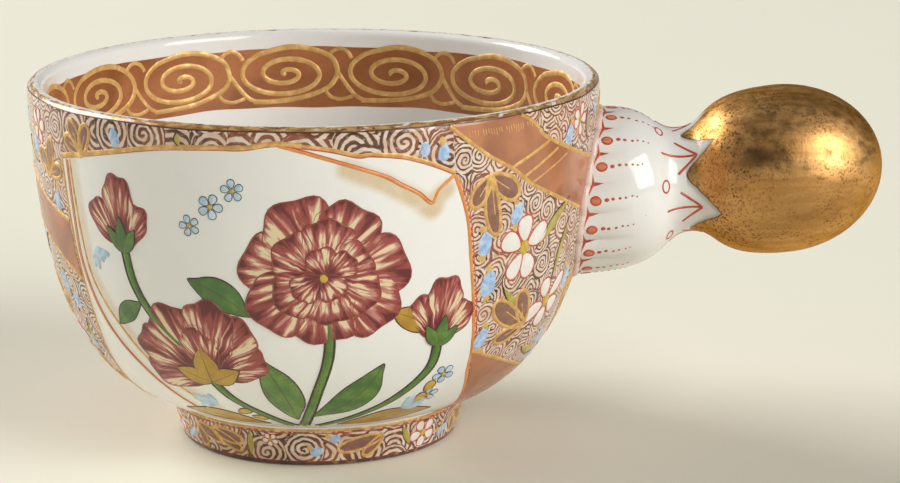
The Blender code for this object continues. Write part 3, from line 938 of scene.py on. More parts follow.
def layPetal(a, q, lean, long, turn):
    place = (a + turn, q)
    fills["blue"].append(touch(place, lean, long * 1.15, long * 0.74, skew=chance.uniform(0.05, 0.3),
                               wave=0.06, waves=5, phase=chance.uniform(0, 6)))
    for _ in range(motifs["dots"]):
        side = chance.uniform(0, 2 * math.pi)
        dot = outside.near(place, math.cos(side) * long * 0.58, math.sin(side) * long * 0.72)
        if hasRoom(a, dot):
            fills["sepia"].append(touch(dot, math.degrees(side), *motifs["dot"], rise=0.5))
    for side in (-1, 1):
        spot = outside.near(place, chance.uniform(-0.6, 0.6), side * long * chance.uniform(0.55, 0.7))
        if hasRoom(a, spot):
            lean = chance.uniform(0, 90)
            fills["ochre"].append(touch(spot, lean, *motifs["dab"], rise=0.5, wave=0.12, waves=3))


def layBlossom(place, size, count, lean):
    for n in range(count):
        away = math.radians(lean + 360.0 * n / count + chance.uniform(-14, 14))
        joint = around(outside, place, away, size * 0.2)
        reach = size * chance.uniform(0.68, 0.98)
        made = leaning(outside, joint, away, reach, size * chance.uniform(0.48, 0.62), skew=0.28, wave=0.04,
                       waves=3, phase=chance.uniform(0, 6))
        fills["white"].append(made)
        outlineRuns["red"].append((dabEdge(outside, made, 1.05, 20), motifs["blossomLine"], True))
    fills["yellow"].append(touch(place, 80, size * 0.5, size * 0.42, rise=1.3))


def layMotifs(turn):
    for sprig in motifs["sprigs"]:
        joint = (sprig["joint"][0] + turn, sprig["joint"][1])
        for dx, dy, wide in sprig["lobes"]:
            bend = chance.uniform(-0.08, 0.08)
            made = lobe(outside, joint, dx, dy, wide * 0.9, skew=0.25, rise=0.6, bend=bend)
            fills["umber"].append(made)
            outlineRuns["gold"].append((dabEdge(outside, made, 1.06, 24), motifs["sprigLine"], True))
            vein = [outside.near(joint, dx * share, dy * share) for share in motifs["vein"]]
            outlineRuns["gold"].append((vein, motifs["veinLine"], False))
    for petal in motifs["petals"]:
        layPetal(*petal, turn)
    for a, q, size, count, lean in motifs["blossoms"]:
        layBlossom((a + turn, q), size, count, lean)
    for (a, q), dx, dy, wide in motifs["leaves"]:
        made = lobe(outside, (a + turn, q), dx, dy, wide, tip=0.75, bend=0.06, rise=0.7)
        fills["olive"].append(made)
        outlineRuns["sepia"].append((dabEdge(outside, made, 1.04, 18, 0.5), motifs["leafLine"], False))


for turn in halves.values():
    layMotifs(turn)
print("motifs laid out")

# Frames of the panels: an orange line with a red one beside it, and gold where it was laid over.
# Each is a colour, a line of the panel and its first and last place, a shift in mm and half its width.
frameLines = [
    ("orange", "right", 1, None, 0.0, 0.0, 0.27), ("red", "right", 1, None, 0.42, 0.0, 0.08),
    ("gold", "top", 0, 7, 0.0, 0.0, 0.36), ("gold", "top", 6, None, 0.0, 0.0, 0.26),
    ("red", "top", 0, None, 0.0, 0.3, 0.07), ("orange", "fold", 0, None, 0.0, 0.0, 0.2),
    ("red", "fold", 0, None, 0.1, -0.2, 0.05), ("gold", "left", 1, None, 0.0, 0.0, 0.2),
    ("orange", "middle", 0, None, 0.0, 0.0, 0.15), ("red", "middle", 0, None, 0.34, 0.0, 0.07),
    ("gold", "inner", 0, None, 0.0, 0.0, 0.2), ("gold", "foot", 0, None, 0.0, 0.0, 0.17),
]
rimLine = {"half": 0.085, "sway": 0.05, "swayRun": 0.21}


def paintMotifs():
    frameRuns = {"orange": [], "red": [], "gold": []}
    for turn in halves.values():
        for colour, key, first, last, dx, dy, half in frameLines:
            line = shifted(turned(panel[key][first:last], turn), outside, dx, dy)
            frameRuns[colour].append((rounded(line), half, False))
    ring = [(a, q + rimLine["sway"] * math.sin(a * rimLine["swayRun"]))
            for a, q in ringPlaces(paintTop, 360)[:-1]]
    for name, runs, finish, lift in (
            ("gold_frames", frameRuns["gold"], goldLine, 0.02),
            ("orange_frames", frameRuns["orange"], enamel["orange"], 0.02),
            ("red_frames", frameRuns["red"], enamel["red"], 0.03),
            ("rim_dark_line", [(ring, rimLine["half"], True)], enamel["sepia"], 0.03),
            ("gold_band_edges", gildedRuns, goldLine, 0.06),
            ("gold_hatching", hatchRuns, goldLine, 0.06),
            ("gold_ticks", tickRuns, goldLine, 0.07),
            ("sprig_outlines", outlineRuns["gold"], goldLine, 0.08),
            ("blossom_outlines", outlineRuns["red"], enamel["red"], 0.06),
            ("leaf_edges", outlineRuns["sepia"], enamel["sepia"], 0.08)):
        strokes(name, outside, runs, finish, "bowl_glaze", lift)
    for key, items in fills.items():
        spokes, rings = (8, 4) if key in ("sepia", "ochre") else (14, 6)
        dabs(key + "_motifs", outside, items, enamel[key], "bowl_glaze", 0.09, spokes, rings, 0.03)


paintMotifs()
print("motifs painted")


# soft ochre along the frames, stored on the bowl's points: line, shift in mm, half width, strength
washes = [("shade", 0.0, 0.75, 1.1, 0.75), ("inner", 0.75, 0.1, 1.0, 0.5), ("foot", 0.5, -0.5, 0.9, 0.45),
          ("middle", 0.5, 0.0, 0.7, 0.45), ("left", 0.5, 0.0, 0.6, 0.3)]
washFade = 0.8                  # mm over which a wash runs out


def brushWash():
    layer = bowlMesh.attributes.new("wash", "FLOAT", "POINT")
    for key, dx, dy, half, share in washes:
        lines = []
        for turn in halves.values():
            lines += rounded(shifted(turned(panel[key], turn), outside, dx, dy))
        tree = kdtree.KDTree(len(lines))
        for k, place in enumerate(lines):
            tree.insert(outside.at(*place), k)
        tree.balance()
        for k, vert in enumerate(bowlMesh.vertices):
            away = tree.find(vert.co)[2] / mm
            strength = share * min(max((half - away) / washFade + 0.5, 0.0), 1.0)
            layer.data[k].value = max(layer.data[k].value, strength)


brushWash()

# Rim: gold over the lip's crown, pitted, and rubbed to the glaze on the inside and at two places.
rimLook = {"from": -0.3, "to": 1.06, "bright": (0.74, 0.47, 0.18), "deep": (0.33, 0.145, 0.05),
           "bare": (0.82, 0.73, 0.65), "rubbing": (0.4, 1.5, 1.0), "drunk": (0.62, -0.78, 0.0),
           "whole": -24.0, "worn": 46.0, "wiped": (-0.97, -0.25, 0.0), "wipedFrom": 37.0, "wipedTo": 47.0}


def rimFinish():
    made = Finish("rim_gilding")
    along = made.split(made.uv())[1]
    kept = made.plus(made.noise(1.6, 5.0, where=made.uv(), stretch=rimLook["rubbing"]),
                     made.step(along, -0.3, 0.45, -0.2, 0.22))
    # the lip is worn most where one drinks, and wiped at its left
    side = made.vector("DOT_PRODUCT", made.place, rimLook["drunk"])
    kept = made.minus(kept, made.step(side, rimLook["whole"], rimLook["worn"], -0.06, 0.24))
    side = made.vector("DOT_PRODUCT", made.place, rimLook["wiped"])
    kept = made.minus(kept, made.step(side, rimLook["wipedFrom"], rimLook["wipedTo"], 0.0, 0.26))
    gilded = made.step(kept, 0.4, 0.52)
    bare = made.glassy(rimLook["bare"], glazeLook["thick"], 0.14, 0.6, 0.02)
    cloud = made.noise(1.3, 5.0, 0.4, made.uv(), rimLook["rubbing"])
    gold = made.mix(made.step(cloud, 0.38, 0.62), rimLook["bright"], rimLook["deep"])
    pits = made.math("MAXIMUM", made.specks(1.3, 0.24), made.specks(2.6, 0.3))
    gold = made.mix(made.times(pits, 0.9), gold, goldLook["soot"])
    edges = made.plus(made.step(along, -0.24, -0.1, 1.0, 0.0), made.step(along, 0.78, 0.95))
    gold = made.mix(made.times(edges, 0.7), gold, rimLook["deep"])
    made.set("baseColor", made.mix(gilded, bare, gold))
    made.set("metallic", made.times(gilded, 0.35))
    made.set("roughness", made.step(made.noise(1.2, 4.0), 0.2, 0.8, 0.22, 0.4))
    return made


coat("gilded_rim", lipSide, ringPlaces(rimLook["from"], 96), ringPlaces(rimLook["to"], 96), rimFinish(),
     "bowl_glaze", 10, 360)

# Inside the lip: a red-brown band with a gold scroll of touching ovals, each wound up into a spiral.
# Heights are below the lip, the scroll's places in mm from the middle of an oval.
scroll = {"top": 2.25, "bottom": 10.2, "middle": 5.7, "count": 14, "first": -170.5, "line": 0.48,
          "thin": (0.45, 0.165, 0.062), "thick": (0.27, 0.09, 0.029), "fleck": (0.22, 0.08, 0.045),
          "start": -200.0, "end": 600.0, "core": 1.75, "pitch": 2.9, "flat": 0.5, "least": 0.25,
          "oval": [(0.4, -3.55), (3.6, -3.25), (6.1, -2.1), (7.0, -0.2), (6.2, 1.5), (4.4, 2.5), (1.5, 3.3),
                   (-2.0, 3.65), (-4.5, 3.6)],
          "leg": [(7.05, 0.0), (7.7, 1.0), (8.5, 2.1), (9.3, 3.0), (10.2, 3.5)],
          "base": [(5.3, 2.3), (5.8, 3.1), (7.2, 3.5), (8.9, 3.1)],
          "cap": [(5.7, -2.3), (6.4, -3.0), (7.3, -3.3), (8.3, -2.9), (8.9, -2.0)]}


def bandFinish(name):
    made = Finish(name)
    colour = made.glassy(scroll["thin"], scroll["thick"], 0.2, 0.12, 0.02)
    flecks = made.step(made.noise(2.6, 4.0), 0.58, 0.72, 0.0, 0.4)
    made.set("baseColor", made.mix(flecks, colour, scroll["fleck"]))
    return made


# one oval of the scroll with its legs, as lines in mm and shares of the brush's width
def scrollOval():
    wound = []
    for turn in map(math.radians, stopsAlong(scroll["start"], scroll["end"], 72)):
        reach = max(scroll["core"] + scroll["pitch"] * turn / (2 * math.pi), scroll["least"])
        wound.append((reach * math.cos(turn), reach * scroll["flat"] * math.sin(turn)))
    squeeze = chance.uniform(0.93, 1.0)
    wound = [(dx * squeeze, dy) for dx, dy in wound]
    for dx, dy in scroll["oval"]:
        wound.append((dx + chance.uniform(-0.08, 0.08), dy + chance.uniform(-0.06, 0.06)))
    return (wound, 1.0), (scroll["leg"], 0.9), (scroll["base"], 0.85), (scroll["cap"], 0.85)


def paintScroll():
    topLine, bottomLine, middle = (
        inside.alongAt(bowl["lipTop"] - scroll[key]) for key in ("top", "bottom", "middle"))
    for k in range(3):
        name = "lip_band_%d" % (k + 1)
        turns = stopsAlong(120.0 * k, 120.0 * (k + 1), 40)
        uneven = [0.12 * math.sin(a * 0.13) + 0.06 * math.sin(a * 0.37) for a in turns]
        coat(name, inside, [(a, topLine + u) for a, u in zip(turns, uneven)],
             [(a, bottomLine - u) for a, u in zip(turns, uneven)], bandFinish(name), "bowl_glaze", 14, 150)
    runs = []
    for k in range(scroll["count"]):
        centre = (scroll["first"] + 360.0 / scroll["count"] * k, middle)
        for line, share in scrollOval():
            places = [inside.near(centre, -dx, dy) for dx, dy in line]
            runs.append((rounded(places), scroll["line"] * share, False))
    strokes("gold_scroll", inside, runs, goldLine, "bowl_glaze", -0.03, 0.03, 6)


paintScroll()
print("lip band painted")

# Foot ring: brocade with its own sprigs, a gold line above and a dark edge below, that edge partly painted
# shade where the foot meets the floor.
footLook = {
    "top": 0.15, "bottom": 4.3, "edge": 4.95, "thirds": (0.0, 120.0, 240.0), "brocade": 90.0,
    "brocadeStep": 9.0, "size": 1.35, "line": 0.47, "goldRing": (0.05, 0.18), "redRing": (0.42, 0.08),
    "sprigs": [(-43.5, 1.3, ((4.6, 0.9, 1.6), (4.2, 2.2, 1.4))),
               (27.5, 1.4, ((-5.4, 1.4, 1.7), (-2.2, 2.5, 1.2))),
               (68.0, 1.2, ((4.0, 1.6, 1.5), (0.8, 2.9, 1.3)))],
    "petals": [(1.6, 3.0, 1.9), (8.6, 1.3, 1.5), (-57.0, 2.8, 1.6), (60.0, 3.3, 1.5)],
    "blossoms": [(47.5, 2.3, 2.3), (-16.5, 1.5, 1.1)],
    "leaves": [(-24.6, 0.5, -0.3, 3.6), (36.0, 0.6, 1.6, 3.0)],
    "sprigLine": 0.2, "blossomLine": 0.07, "leafLine": 0.08,
}


# dark brown-red enamel with rubbed gold on the foot's lower edge; its darkness is also painted shade,
# standing in for the shade where the foot meets the floor
def footEdgeAndShadeFinish():
    made = Finish("foot_edge_and_shade")
    colour = made.glassy(enamels["brownRed"]["thick"], enamels["sepia"]["thin"], 0.22, 0.4, 0.03)
    rubbed = made.step(made.noise(0.9, 5.0, stretch=(1.0, 1.0, 2.0)), 0.56, 0.7)
    made.set("baseColor", made.mix(made.times(rubbed, 0.6), colour, goldLook["deep"]))
    return made


def paintFootGround():
    places = stopsAlong(-180.0, 180.0, 96)
    for k in range(3):
        part = places[k * 32:k * 32 + 33]
        top, bottom, edgeTop, edge = (
            [(a, along) for a in part]
            for along in (footLook["top"], footLook["bottom"], footLook["bottom"] + 0.02, footLook["edge"]))
        name = "foot_brocade_%d" % (k + 1)
        shift = footLook["brocade"] + footLook["brocadeStep"] * k
        coat(name, footSide, top, bottom, brocadeFinish(name, shift, footLook["size"], footLook["line"]),
             "foot_enamel", 14, 90)
        # the dark lower edge: real dark enamel, and painted shade at the floor
        coat("foot_dark_edge_and_shade_%d" % (k + 1), footSide, edgeTop, edge, footEdgeAndShadeFinish(), "foot_enamel", 6, 90)


def paintFoot():
    fill = {key: [] for key in fillColours}
    gold, red, dark = [], [], []
    for start in footLook["thirds"]:
        for a, q, lobes in footLook["sprigs"]:
            for dx, dy, wide in lobes:
                made = lobe(footSide, (a + start, q), dx, dy, wide, skew=0.15, rise=0.6)
                fill["umber"].append(made)
                gold.append((dabEdge(footSide, made, 1.04, 20), footLook["sprigLine"], True))
        for a, q, long in footLook["petals"]:
            place = (a + start, q)
            fill["blue"].append(touch(place, 160, long, long * 0.7, skew=0.2))
            for n in range(3):
                dot = footSide.near(place, -1.2 - 0.3 * n, 0.5 - 0.5 * n)
                fill["sepia"].append(touch(dot, 0, 0.42, 0.32, rise=0.5))
            fill["ochre"].append(touch(footSide.near(place, -0.9, -0.5), 70, 0.9, 0.7))
        for a, q, size in footLook["blossoms"]:
            place = (a + start, q)
            for n in range(5):
                away = 2 * math.pi * n / 5 + 0.4
                joint = around(footSide, place, away, size * 0.2)
                made = lobe(footSide, joint, math.cos(away) * size * 0.72, math.sin(away) * size * 0.62,
                            size * 0.55, skew=0.25)
                fill["white"].append(made)
                red.append((dabEdge(footSide, made, 1.05, 16), footLook["blossomLine"], True))
            fill["yellow"].append(touch(place, 0, size * 0.5, size * 0.42, rise=1.3))
        for a, q, dx, dy in footLook["leaves"]:
            made = lobe(footSide, (a + start, q), dx, dy, 0.9, tip=0.7)
            fill["olive"].append(made)
            dark.append((dabEdge(footSide, made, 1.04, 16, 0.5), footLook["leafLine"], False))
    for key, items in fill.items():
        dabs("foot_" + key, footSide, items, enamel[key], "foot_enamel", 0.08, 10, 6, 0.03)
    for runs, (along, half) in ((gold, footLook["goldRing"]), (red, footLook["redRing"])):
        runs.append((ringPlaces(along, 180)[:-1], half, True))
    strokes("foot_gold", footSide, gold, goldLine, "foot_enamel", 0.06)
    strokes("foot_red", footSide, red, enamel["red"], "foot_enamel", 0.06)
    strokes("foot_dark", footSide, dark, enamel["sepia"], "foot_enamel", 0.04)


paintFootGround()
paintFoot()
print("foot painted")

# Collar: a ring-dot and a tail of dots on each petal, cusps between them, arrows to the ball.
collarLook = {
    "ringAlong": 1.6, "ring": (1.15, 0.92), "ringLine": 0.12,
    "tail": ((1.3, 0.25), (2.15, 0.2), (2.95, 0.17), (3.7, 0.14), (4.4, 0.12), (5.0, 0.1)),
    "cuspAlong": 0.1, "cusp": (2.1, 0.46), "joint": 0.95, "scallop": 0.5, "jointLine": 0.115,
    "shaft": 8.8, "barb": 10.6, "tip": 13.1, "spread": 19.0, "arrowLine": 0.13,
    "ovalAlong": 8.9, "oval": (1.5, 0.84), "ovalLine": 0.1,
}
handleSide = onHandle(collarProfile + ballProfile[1:], collarRoot, petalGroove)


def paintPetals():
    runs, solid, fillings = [], [], []
    petal = 360.0 / handle["lobes"]
    for k in range(handle["lobes"]):
        middle = petal * (k + 0.5) + chance.uniform(-1.2, 1.2)
        start = saddleAt(middle) + collarLook["ringAlong"]
        ring = touch((middle, start), 90 + chance.uniform(-12, 12), *collarLook["ring"])
        fillings.append(ring)
        runs.append((dabEdge(collarSide, ring, 1.0, 16), collarLook["ringLine"], True))
        for step, half in collarLook["tail"]:
            spot = (middle + chance.uniform(-0.6, 0.6), start + step + chance.uniform(-0.1, 0.1))
            solid.append(touch(spot, 90, half * 2.4, half * 2))
        edge = petal * k
        long, wide = collarLook["cusp"]
        base = saddleAt(edge) + collarLook["cuspAlong"]
        solid.append(touch((edge, base + long / 2), 90, long, wide, skew=-0.93, tip=0.1))
    line = []
    for n in range(240):
        turn = 1.5 * n
        crest = abs(math.sin(math.radians(turn) * handle["lobes"] / 2))
        line.append((turn, saddleAt(turn) + collarLook["joint"] - collarLook["scallop"] * crest))
    runs.append((line, collarLook["jointLine"], True))
    return runs, solid, fillings


def paintCollar():
    runs, solid, fillings = paintPetals()
    shaft, barb = collarLook["shaft"], collarLook["barb"]
    arrows = []
    for k in range(ballLook["points"]):
        middle = ballLook["firstPoint"] + 360.0 / ballLook["points"] * k + chance.uniform(-2, 2)
        heads = [[(middle - 3, shaft), (middle - 1.5, shaft + 1.4), (middle - 0.5, shaft + 2.6)]]
        for spread in (-collarLook["spread"], collarLook["spread"]):
            heads.append([(middle + spread, barb), (middle + spread * 0.55, barb + 1.2)])
        for head in heads:
            drawn = [place for place in head if place[1] <= collarEnd] + [(middle, collarLook["tip"])]
            arrows.append((rounded(drawn), collarLook["arrowLine"], False))
        oval = touch((middle + 30.0, collarLook["ovalAlong"]), chance.uniform(-12, 12), *collarLook["oval"])
        runs.append((dabEdge(collarSide, oval, 1.0, 14), collarLook["ovalLine"], True))
    strokes("collar_red_lines", collarSide, runs, enamel["red"], "collar_glaze", 0.04)
    dabs("collar_dots", collarSide, solid, enamel["red"], "collar_glaze", 0.05, 8, 4, 0.01)
    dabs("collar_ring_dots", collarSide, fillings, enamel["coral"], "collar_glaze", 0.07, 12, 6, 0.01)
    strokes("collar_arrows", handleSide, arrows, enamel["red"], "collar_glaze", 0.04)


paintCollar()

# Bead of luting slip in the corner between collar and wall.
slipLook = {"thin": (0.80, 0.66, 0.60), "thick": (0.70, 0.52, 0.46), "stain": (0.48, 0.22, 0.17),
            "half": 0.42, "lift": 0.22, "along": 0.05, "stops": 180}


def buildSlipBead():
    turns = stopsAlong(0.0, 360.0, slipLook["stops"])[:-1]
    line = [(turn, saddleAt(turn) + slipLook["along"]) for turn in turns]
    made = Finish("slip_glaze")
    colour = made.glassy(slipLook["thin"], slipLook["thick"], 0.16, 0.5, 0.02)
    stained = made.step(made.noise(1.2, 4.0), 0.55, 0.75, 0.0, 0.5)
    made.set("baseColor", made.mix(stained, colour, slipLook["stain"]))
    runs = [(line, slipLook["half"], True)]
    piece = strokes("slip_bead_line", collarSide, runs, made, "slip_glaze", slipLook["lift"], 0.05, 2)
    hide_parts("slip_bead")


buildSlipBead()
print("collar painted")

# A spray of garden flowers on the white of each panel: streaked petals, ochre and green leaves.
sprayLook = {"deep": (0.13, 0.02, 0.02), "rose": (0.33, 0.065, 0.055), "cream": (0.78, 0.64, 0.40),
             "flush": (0.56, 0.25, 0.20), "vein": (0.10, 0.07, 0.03),
             "ochre": ((0.58, 0.36, 0.05), (0.42, 0.23, 0.025)),
             "green": ((0.17, 0.30, 0.055), (0.065, 0.16, 0.035)),
             "sky": ((0.60, 0.74, 0.83), (0.33, 0.52, 0.70))}


# brush streaks that run along a petal, each petal with its own
def petalFinish():
    made = Finish("petal_enamel")
    x, y, _ = made.split(made.uv())
    own = made.times(made.attribute("tint"), 17.0)
    fan = made.math("DIVIDE", made.minus(y, 0.5), made.plus(x, 0.35))
    where = made.add("ShaderNodeCombineXYZ", {0: made.times(x, 1.1), 1: made.times(fan, 7.0), 2: own})
    streak = made.noise(1.6, 4.0, 0.3, where.outputs[0])
    toEdge = made.vector("LENGTH", made.vector("SUBTRACT", made.uv(), (0.5, 0.5, 0.0)))
    lit = made.plus(streak, made.step(x, 0.2, 0.55, -0.17, 0.07))
    lit = made.minus(lit, made.step(x, 0.66, 0.95, 0.0, 0.1))
    lit = made.minus(lit, made.step(toEdge, 0.38, 0.5, 0.0, 0.08))
    colour = made.mix(made.step(lit, 0.34, 0.47), sprayLook["deep"], sprayLook["rose"])
    colour = made.mix(made.step(lit, 0.5, 0.58), colour, sprayLook["flush"])
    colour = made.mix(made.step(lit, 0.585, 0.63), colour, sprayLook["cream"])
    made.glassy(sprayLook["rose"], sprayLook["deep"], 0.14, 0.5, 0.02)
    made.set("baseColor", colour)
    return made


# leaf enamel: a darker midrib, side veins and a colour that pools
def leafFinish(name, thin, thick):
    made = Finish(name)
    x, y, _ = made.split(made.uv())
    away = made.math("ABSOLUTE", made.minus(y, 0.5))
    pool = made.step(made.plus(made.noise(0.5, 4.0), made.times(made.attribute("tint"), 0.25)), 0.35, 0.8)
    colour = made.mix(pool, thin, thick)
    rib = made.times(made.step(away, 0.012, 0.035, 1.0, 0.0), 0.7)
    colour = made.mix(rib, colour, sprayLook["vein"])
    sideWave = made.math("PINGPONG", made.minus(made.times(x, 8.0), made.times(away, 6.0)), 0.5)
    colour = made.mix(made.times(made.step(sideWave, 0.0, 0.1, 1.0, 0.0), 0.3), colour, thick)
    stipple = made.step(made.noise(3.4, 3.0), 0.5, 0.62, 0.0, 0.45)
    colour = made.mix(stipple, colour, thick)
    colour = made.mix(made.times(made.specks(1.1, 0.12), 0.7), colour, sprayLook["vein"])
    made.glassy(thin, thick, 0.13, 0.5, 0.02)
    made.set("baseColor", colour)
    return made


def skyFinish():
    made = Finish("sky_enamel")
    made.set("baseColor", made.glassy(*sprayLook["sky"], 0.13, 0.8, 0.02))
    return made


# Where the spray grows: joints as (turn, along), petals as (heading in degrees, length, width).
spray = {
    "blooms": [
        {"joint": (4.0, 16.8), "eye": 1.5, "petals": [
            (-163, 9.4, 7.4), (-112, 9.8, 8.2), (-60, 9.2, 7.6), (-12, 10.2, 7.6), (36, 9.6, 7.8),
            (90, 8.4, 8.2), (143, 9.6, 7.6), (-138, 6.6, 5.6), (-84, 7.0, 5.8), (-30, 6.4, 5.4),
            (28, 6.8, 5.6), (86, 6.0, 5.4), (152, 6.4, 5.6), (-105, 3.9, 3.6), (-35, 3.7, 3.2),
            (50, 3.4, 3.4), (140, 3.8, 3.4)]},
        {"joint": (-22.5, 30.2), "eye": 0.0, "petals": [
            (176, 8.6, 5.2), (-24, 8.2, 5.0), (-152, 9.6, 5.8), (-50, 9.4, 5.6), (-120, 10.4, 6.4),
            (-82, 10.0, 6.2), (-102, 7.0, 4.6)]},
        {"joint": (-38.0, 14.6), "eye": 0.0, "petals": [(-130, 6.8, 3.4), (-58, 6.4, 3.3), (-96, 8.4, 4.4)]},
        {"joint": (29.0, 26.0), "eye": 0.0, "petals": [(-118, 6.6, 3.4), (-52, 6.2, 3.4), (-84, 8.0, 4.4)]},
    ],
    "sepals": [
        ("ochre", (-22.5, 31.6), [(-158, 4.6, 2.6), (-95, 5.4, 3.2), (-30, 4.4, 2.6)]),
        ("green", (-38.0, 15.4), [(-128, 3.8, 1.5), (-94, 4.4, 1.59), (-58, 3.6, 1.5)]),
        ("green", (29.0, 26.8), [(-122, 3.6, 1.5), (-84, 4.2, 1.59), (-48, 3.4, 1.5)]),
    ],
    "stems": [[(4.5, 18.0), (5.0, 26.5), (2.0, 33.5), (-2.0, 41.6)],
              [(-22.5, 31.4), (-19.0, 34.5), (-12.0, 38.0), (-5.5, 41.6)],
              [(-38.0, 14.8), (-37.0, 19.0), (-33.5, 23.0), (-28.0, 26.5)],
              [(29.0, 26.4), (28.0, 30.5), (19.0, 36.0), (3.0, 41.6)]],
    "leaves": {"ochre": [((9.0, 41.4), 11.0, -2.6, 3.9, -0.14), ((-13.0, 41.2), -10.2, -2.4, 3.6, 0.14),
                         ((17.5, 21.5), 5.4, 3.2, 3.2, -0.16)],
               "green": [((-4.0, 39.0), -3.2, -11.6, 4.4, 0.13), ((2.0, 38.0), 7.6, -9.4, 4.2, 0.16),
                         ((-11.0, 21.8), -7.2, -4.2, 3.8, 0.14), ((-36.0, 21.5), -4.6, 3.6, 2.4, 0.12)]},
    "sky": [(-17.5, 8.6, 1.5), (-13.0, 6.6, 1.3), (-22.0, 11.0, 1.2), (33.0, 31.5, 1.4), (31.0, 35.0, 1.3)],
    "tufts": [((-24.5, 36.4), -150, 3.4), ((25.0, 37.4), -40, 3.2), ((-46.5, 15.4), 60, 3.0)],
    "florets": [(-19.5, 37.8, -30), (-16.2, 38.6, 10), (28.0, 36.2, -60), (29.6, 34.2, -70)],
    "stem": 0.68, "stemEdge": 0.58, "layer": 0.012, "petalLine": 0.07, "leafLine": 0.07, "sepalLine": 0.06,
    "anthers": 16, "tuft": 7, "floret": (1.9, 1.25), "floretLine": 0.05, "skyLine": 0.035,
}
laid = {key: [] for key in ("petals", "ochre", "green", "sky", "eyes", "anthers", "stalks", "redEdge",
                            "darkEdge")}


# petals laid over one another, each a little higher than the last
def layBloom(bloom, turn):
    joint, eye = (bloom["joint"][0] + turn, bloom["joint"][1]), bloom["eye"]
    for n, (heading, long, wide) in enumerate(bloom["petals"]):
        root = outside.near(joint, chance.uniform(-0.5, 0.5), chance.uniform(-0.4, 0.4))
        lift = spray["layer"] * n
        made = leaning(outside, root, math.radians(heading), long, wide, skew=0.34, wave=0.06,
                       waves=5 + n % 3, phase=chance.uniform(0, 6.28), crown=0.35, lift=lift,
                       tint=chance.random())
        laid["petals"].append(made)
        laid["redEdge"].append((dabEdge(outside, made, 0.995, 44), spray["petalLine"], True, lift))
    if eye:
        laid["eyes"].append(touch(joint, 30, eye, eye * 0.9, lift=0.15))
        for n in range(spray["anthers"]):
            away = 2 * math.pi * n / spray["anthers"]
            spot = outside.near(joint, math.cos(away) * eye * 0.72, math.sin(away) * eye * 0.66)
            laid["anthers"].append(touch(spot, 0, 0.42, 0.42, lift=0.17))


def layGreens(turn):
    for colour, (a, q), sepals in spray["sepals"]:
        for heading, long, wide in sepals:
            made = leaning(outside, (a + turn, q), math.radians(heading), long, wide, skew=-0.3, tip=0.5,
                           crown=0.45, lift=0.1)
            laid[colour].append(made)
            laid["darkEdge"].append((dabEdge(outside, made, 1.0, 20), spray["sepalLine"], True, 0.1))
    for colour, leaves in spray["leaves"].items():
        for (a, q), dx, dy, wide, bend in leaves:
            made = lobe(outside, (a + turn, q), dx, dy, wide, tip=0.72, bend=bend, crown=0.4, wave=0.02,
                        waves=7)
            laid[colour].append(made)
            laid["darkEdge"].append((dabEdge(outside, made, 1.0, 44), spray["leafLine"], True))
    for line in spray["stems"]:
        line = turned(line, turn)
        laid["stalks"].append((rounded(line), spray["stem"], False))
        for side in (-spray["stemEdge"], spray["stemEdge"]):
            laid["darkEdge"].append((rounded(shifted(line, outside, side)), spray["leafLine"], False, 0.04))


# tufts, florets and small blue flowers between the blooms
def laySmallFlowers(turn):
    for (a, q), heading, long in spray["tufts"]:
        for n in range(spray["tuft"]):
            lean = math.radians(heading + 15.0 * (n - 3) + chance.uniform(-5, 5))
            reach = long * chance.uniform(0.6, 1.0)
            laid["sky"].append(leaning(outside, (a + turn, q), lean, reach, 0.75, skew=0.4, bend=0.1))
    for a, q, heading in spray["florets"]:
        made = leaning(outside, (a + turn, q), math.radians(heading), *spray["floret"], skew=0.3)
        laid["eyes"].append(made)
        laid["redEdge"].append((dabEdge(outside, made, 1.02, 18), spray["floretLine"], True, 0.02))
    for a, q, size in spray["sky"]:
        place = (a + turn, q)
        for n in range(5):
            away = 2 * math.pi * n / 5 + a
            root = around(outside, place, away, 0.3)
            made = leaning(outside, root, away, size * 0.8, size * 0.62, skew=0.3)
            laid["sky"].append(made)
            laid["darkEdge"].append((dabEdge(outside, made, 1.02, 14), spray["skyLine"], True))
        laid["eyes"].append(touch(place, 0, size * 0.42, size * 0.4, lift=0.06))


def paintSpray():
    for turn in halves.values():
        for bloom in spray["blooms"]:
            layBloom(bloom, turn)
        layGreens(turn)
        laySmallFlowers(turn)
    stalk, petal = leafFinish("green_stem", *sprayLook["green"]), petalFinish()
    ochre, green = (leafFinish(key + "_leaf", *sprayLook[key]) for key in ("ochre", "green"))
    strokes("spray_stems", outside, laid["stalks"], stalk, "bowl_glaze", -0.08, 0.04, 4, stemBrush)
    for name, key, finish, rise, spokes, rings, lift in (
            ("spray_petals", "petals", petal, 0.07, 36, 14, 0.02),
            ("spray_ochre_leaves", "ochre", ochre, 0.07, 36, 14, 0.01),
            ("spray_green_leaves", "green", green, 0.07, 36, 14, 0.01),
            ("spray_sky_petals", "sky", skyFinish(), 0.08, 14, 6, 0.02),
            ("spray_eyes", "eyes", enamel["yellow"], 0.12, 14, 6, 0.02),
            ("spray_anthers", "anthers", enamel["sepia"], 0.06, 8, 4, 0.02)):
        dabs(name, outside, laid[key], finish, "bowl_glaze", rise, spokes, rings, lift)
    strokes("spray_petal_edges", outside, laid["redEdge"], enamel["brownRed"], "bowl_glaze", 0.06)
    strokes("spray_leaf_edges", outside, laid["darkEdge"], enamel["sepia"], "bowl_glaze", 0.05)


paintSpray()
print("panels painted")

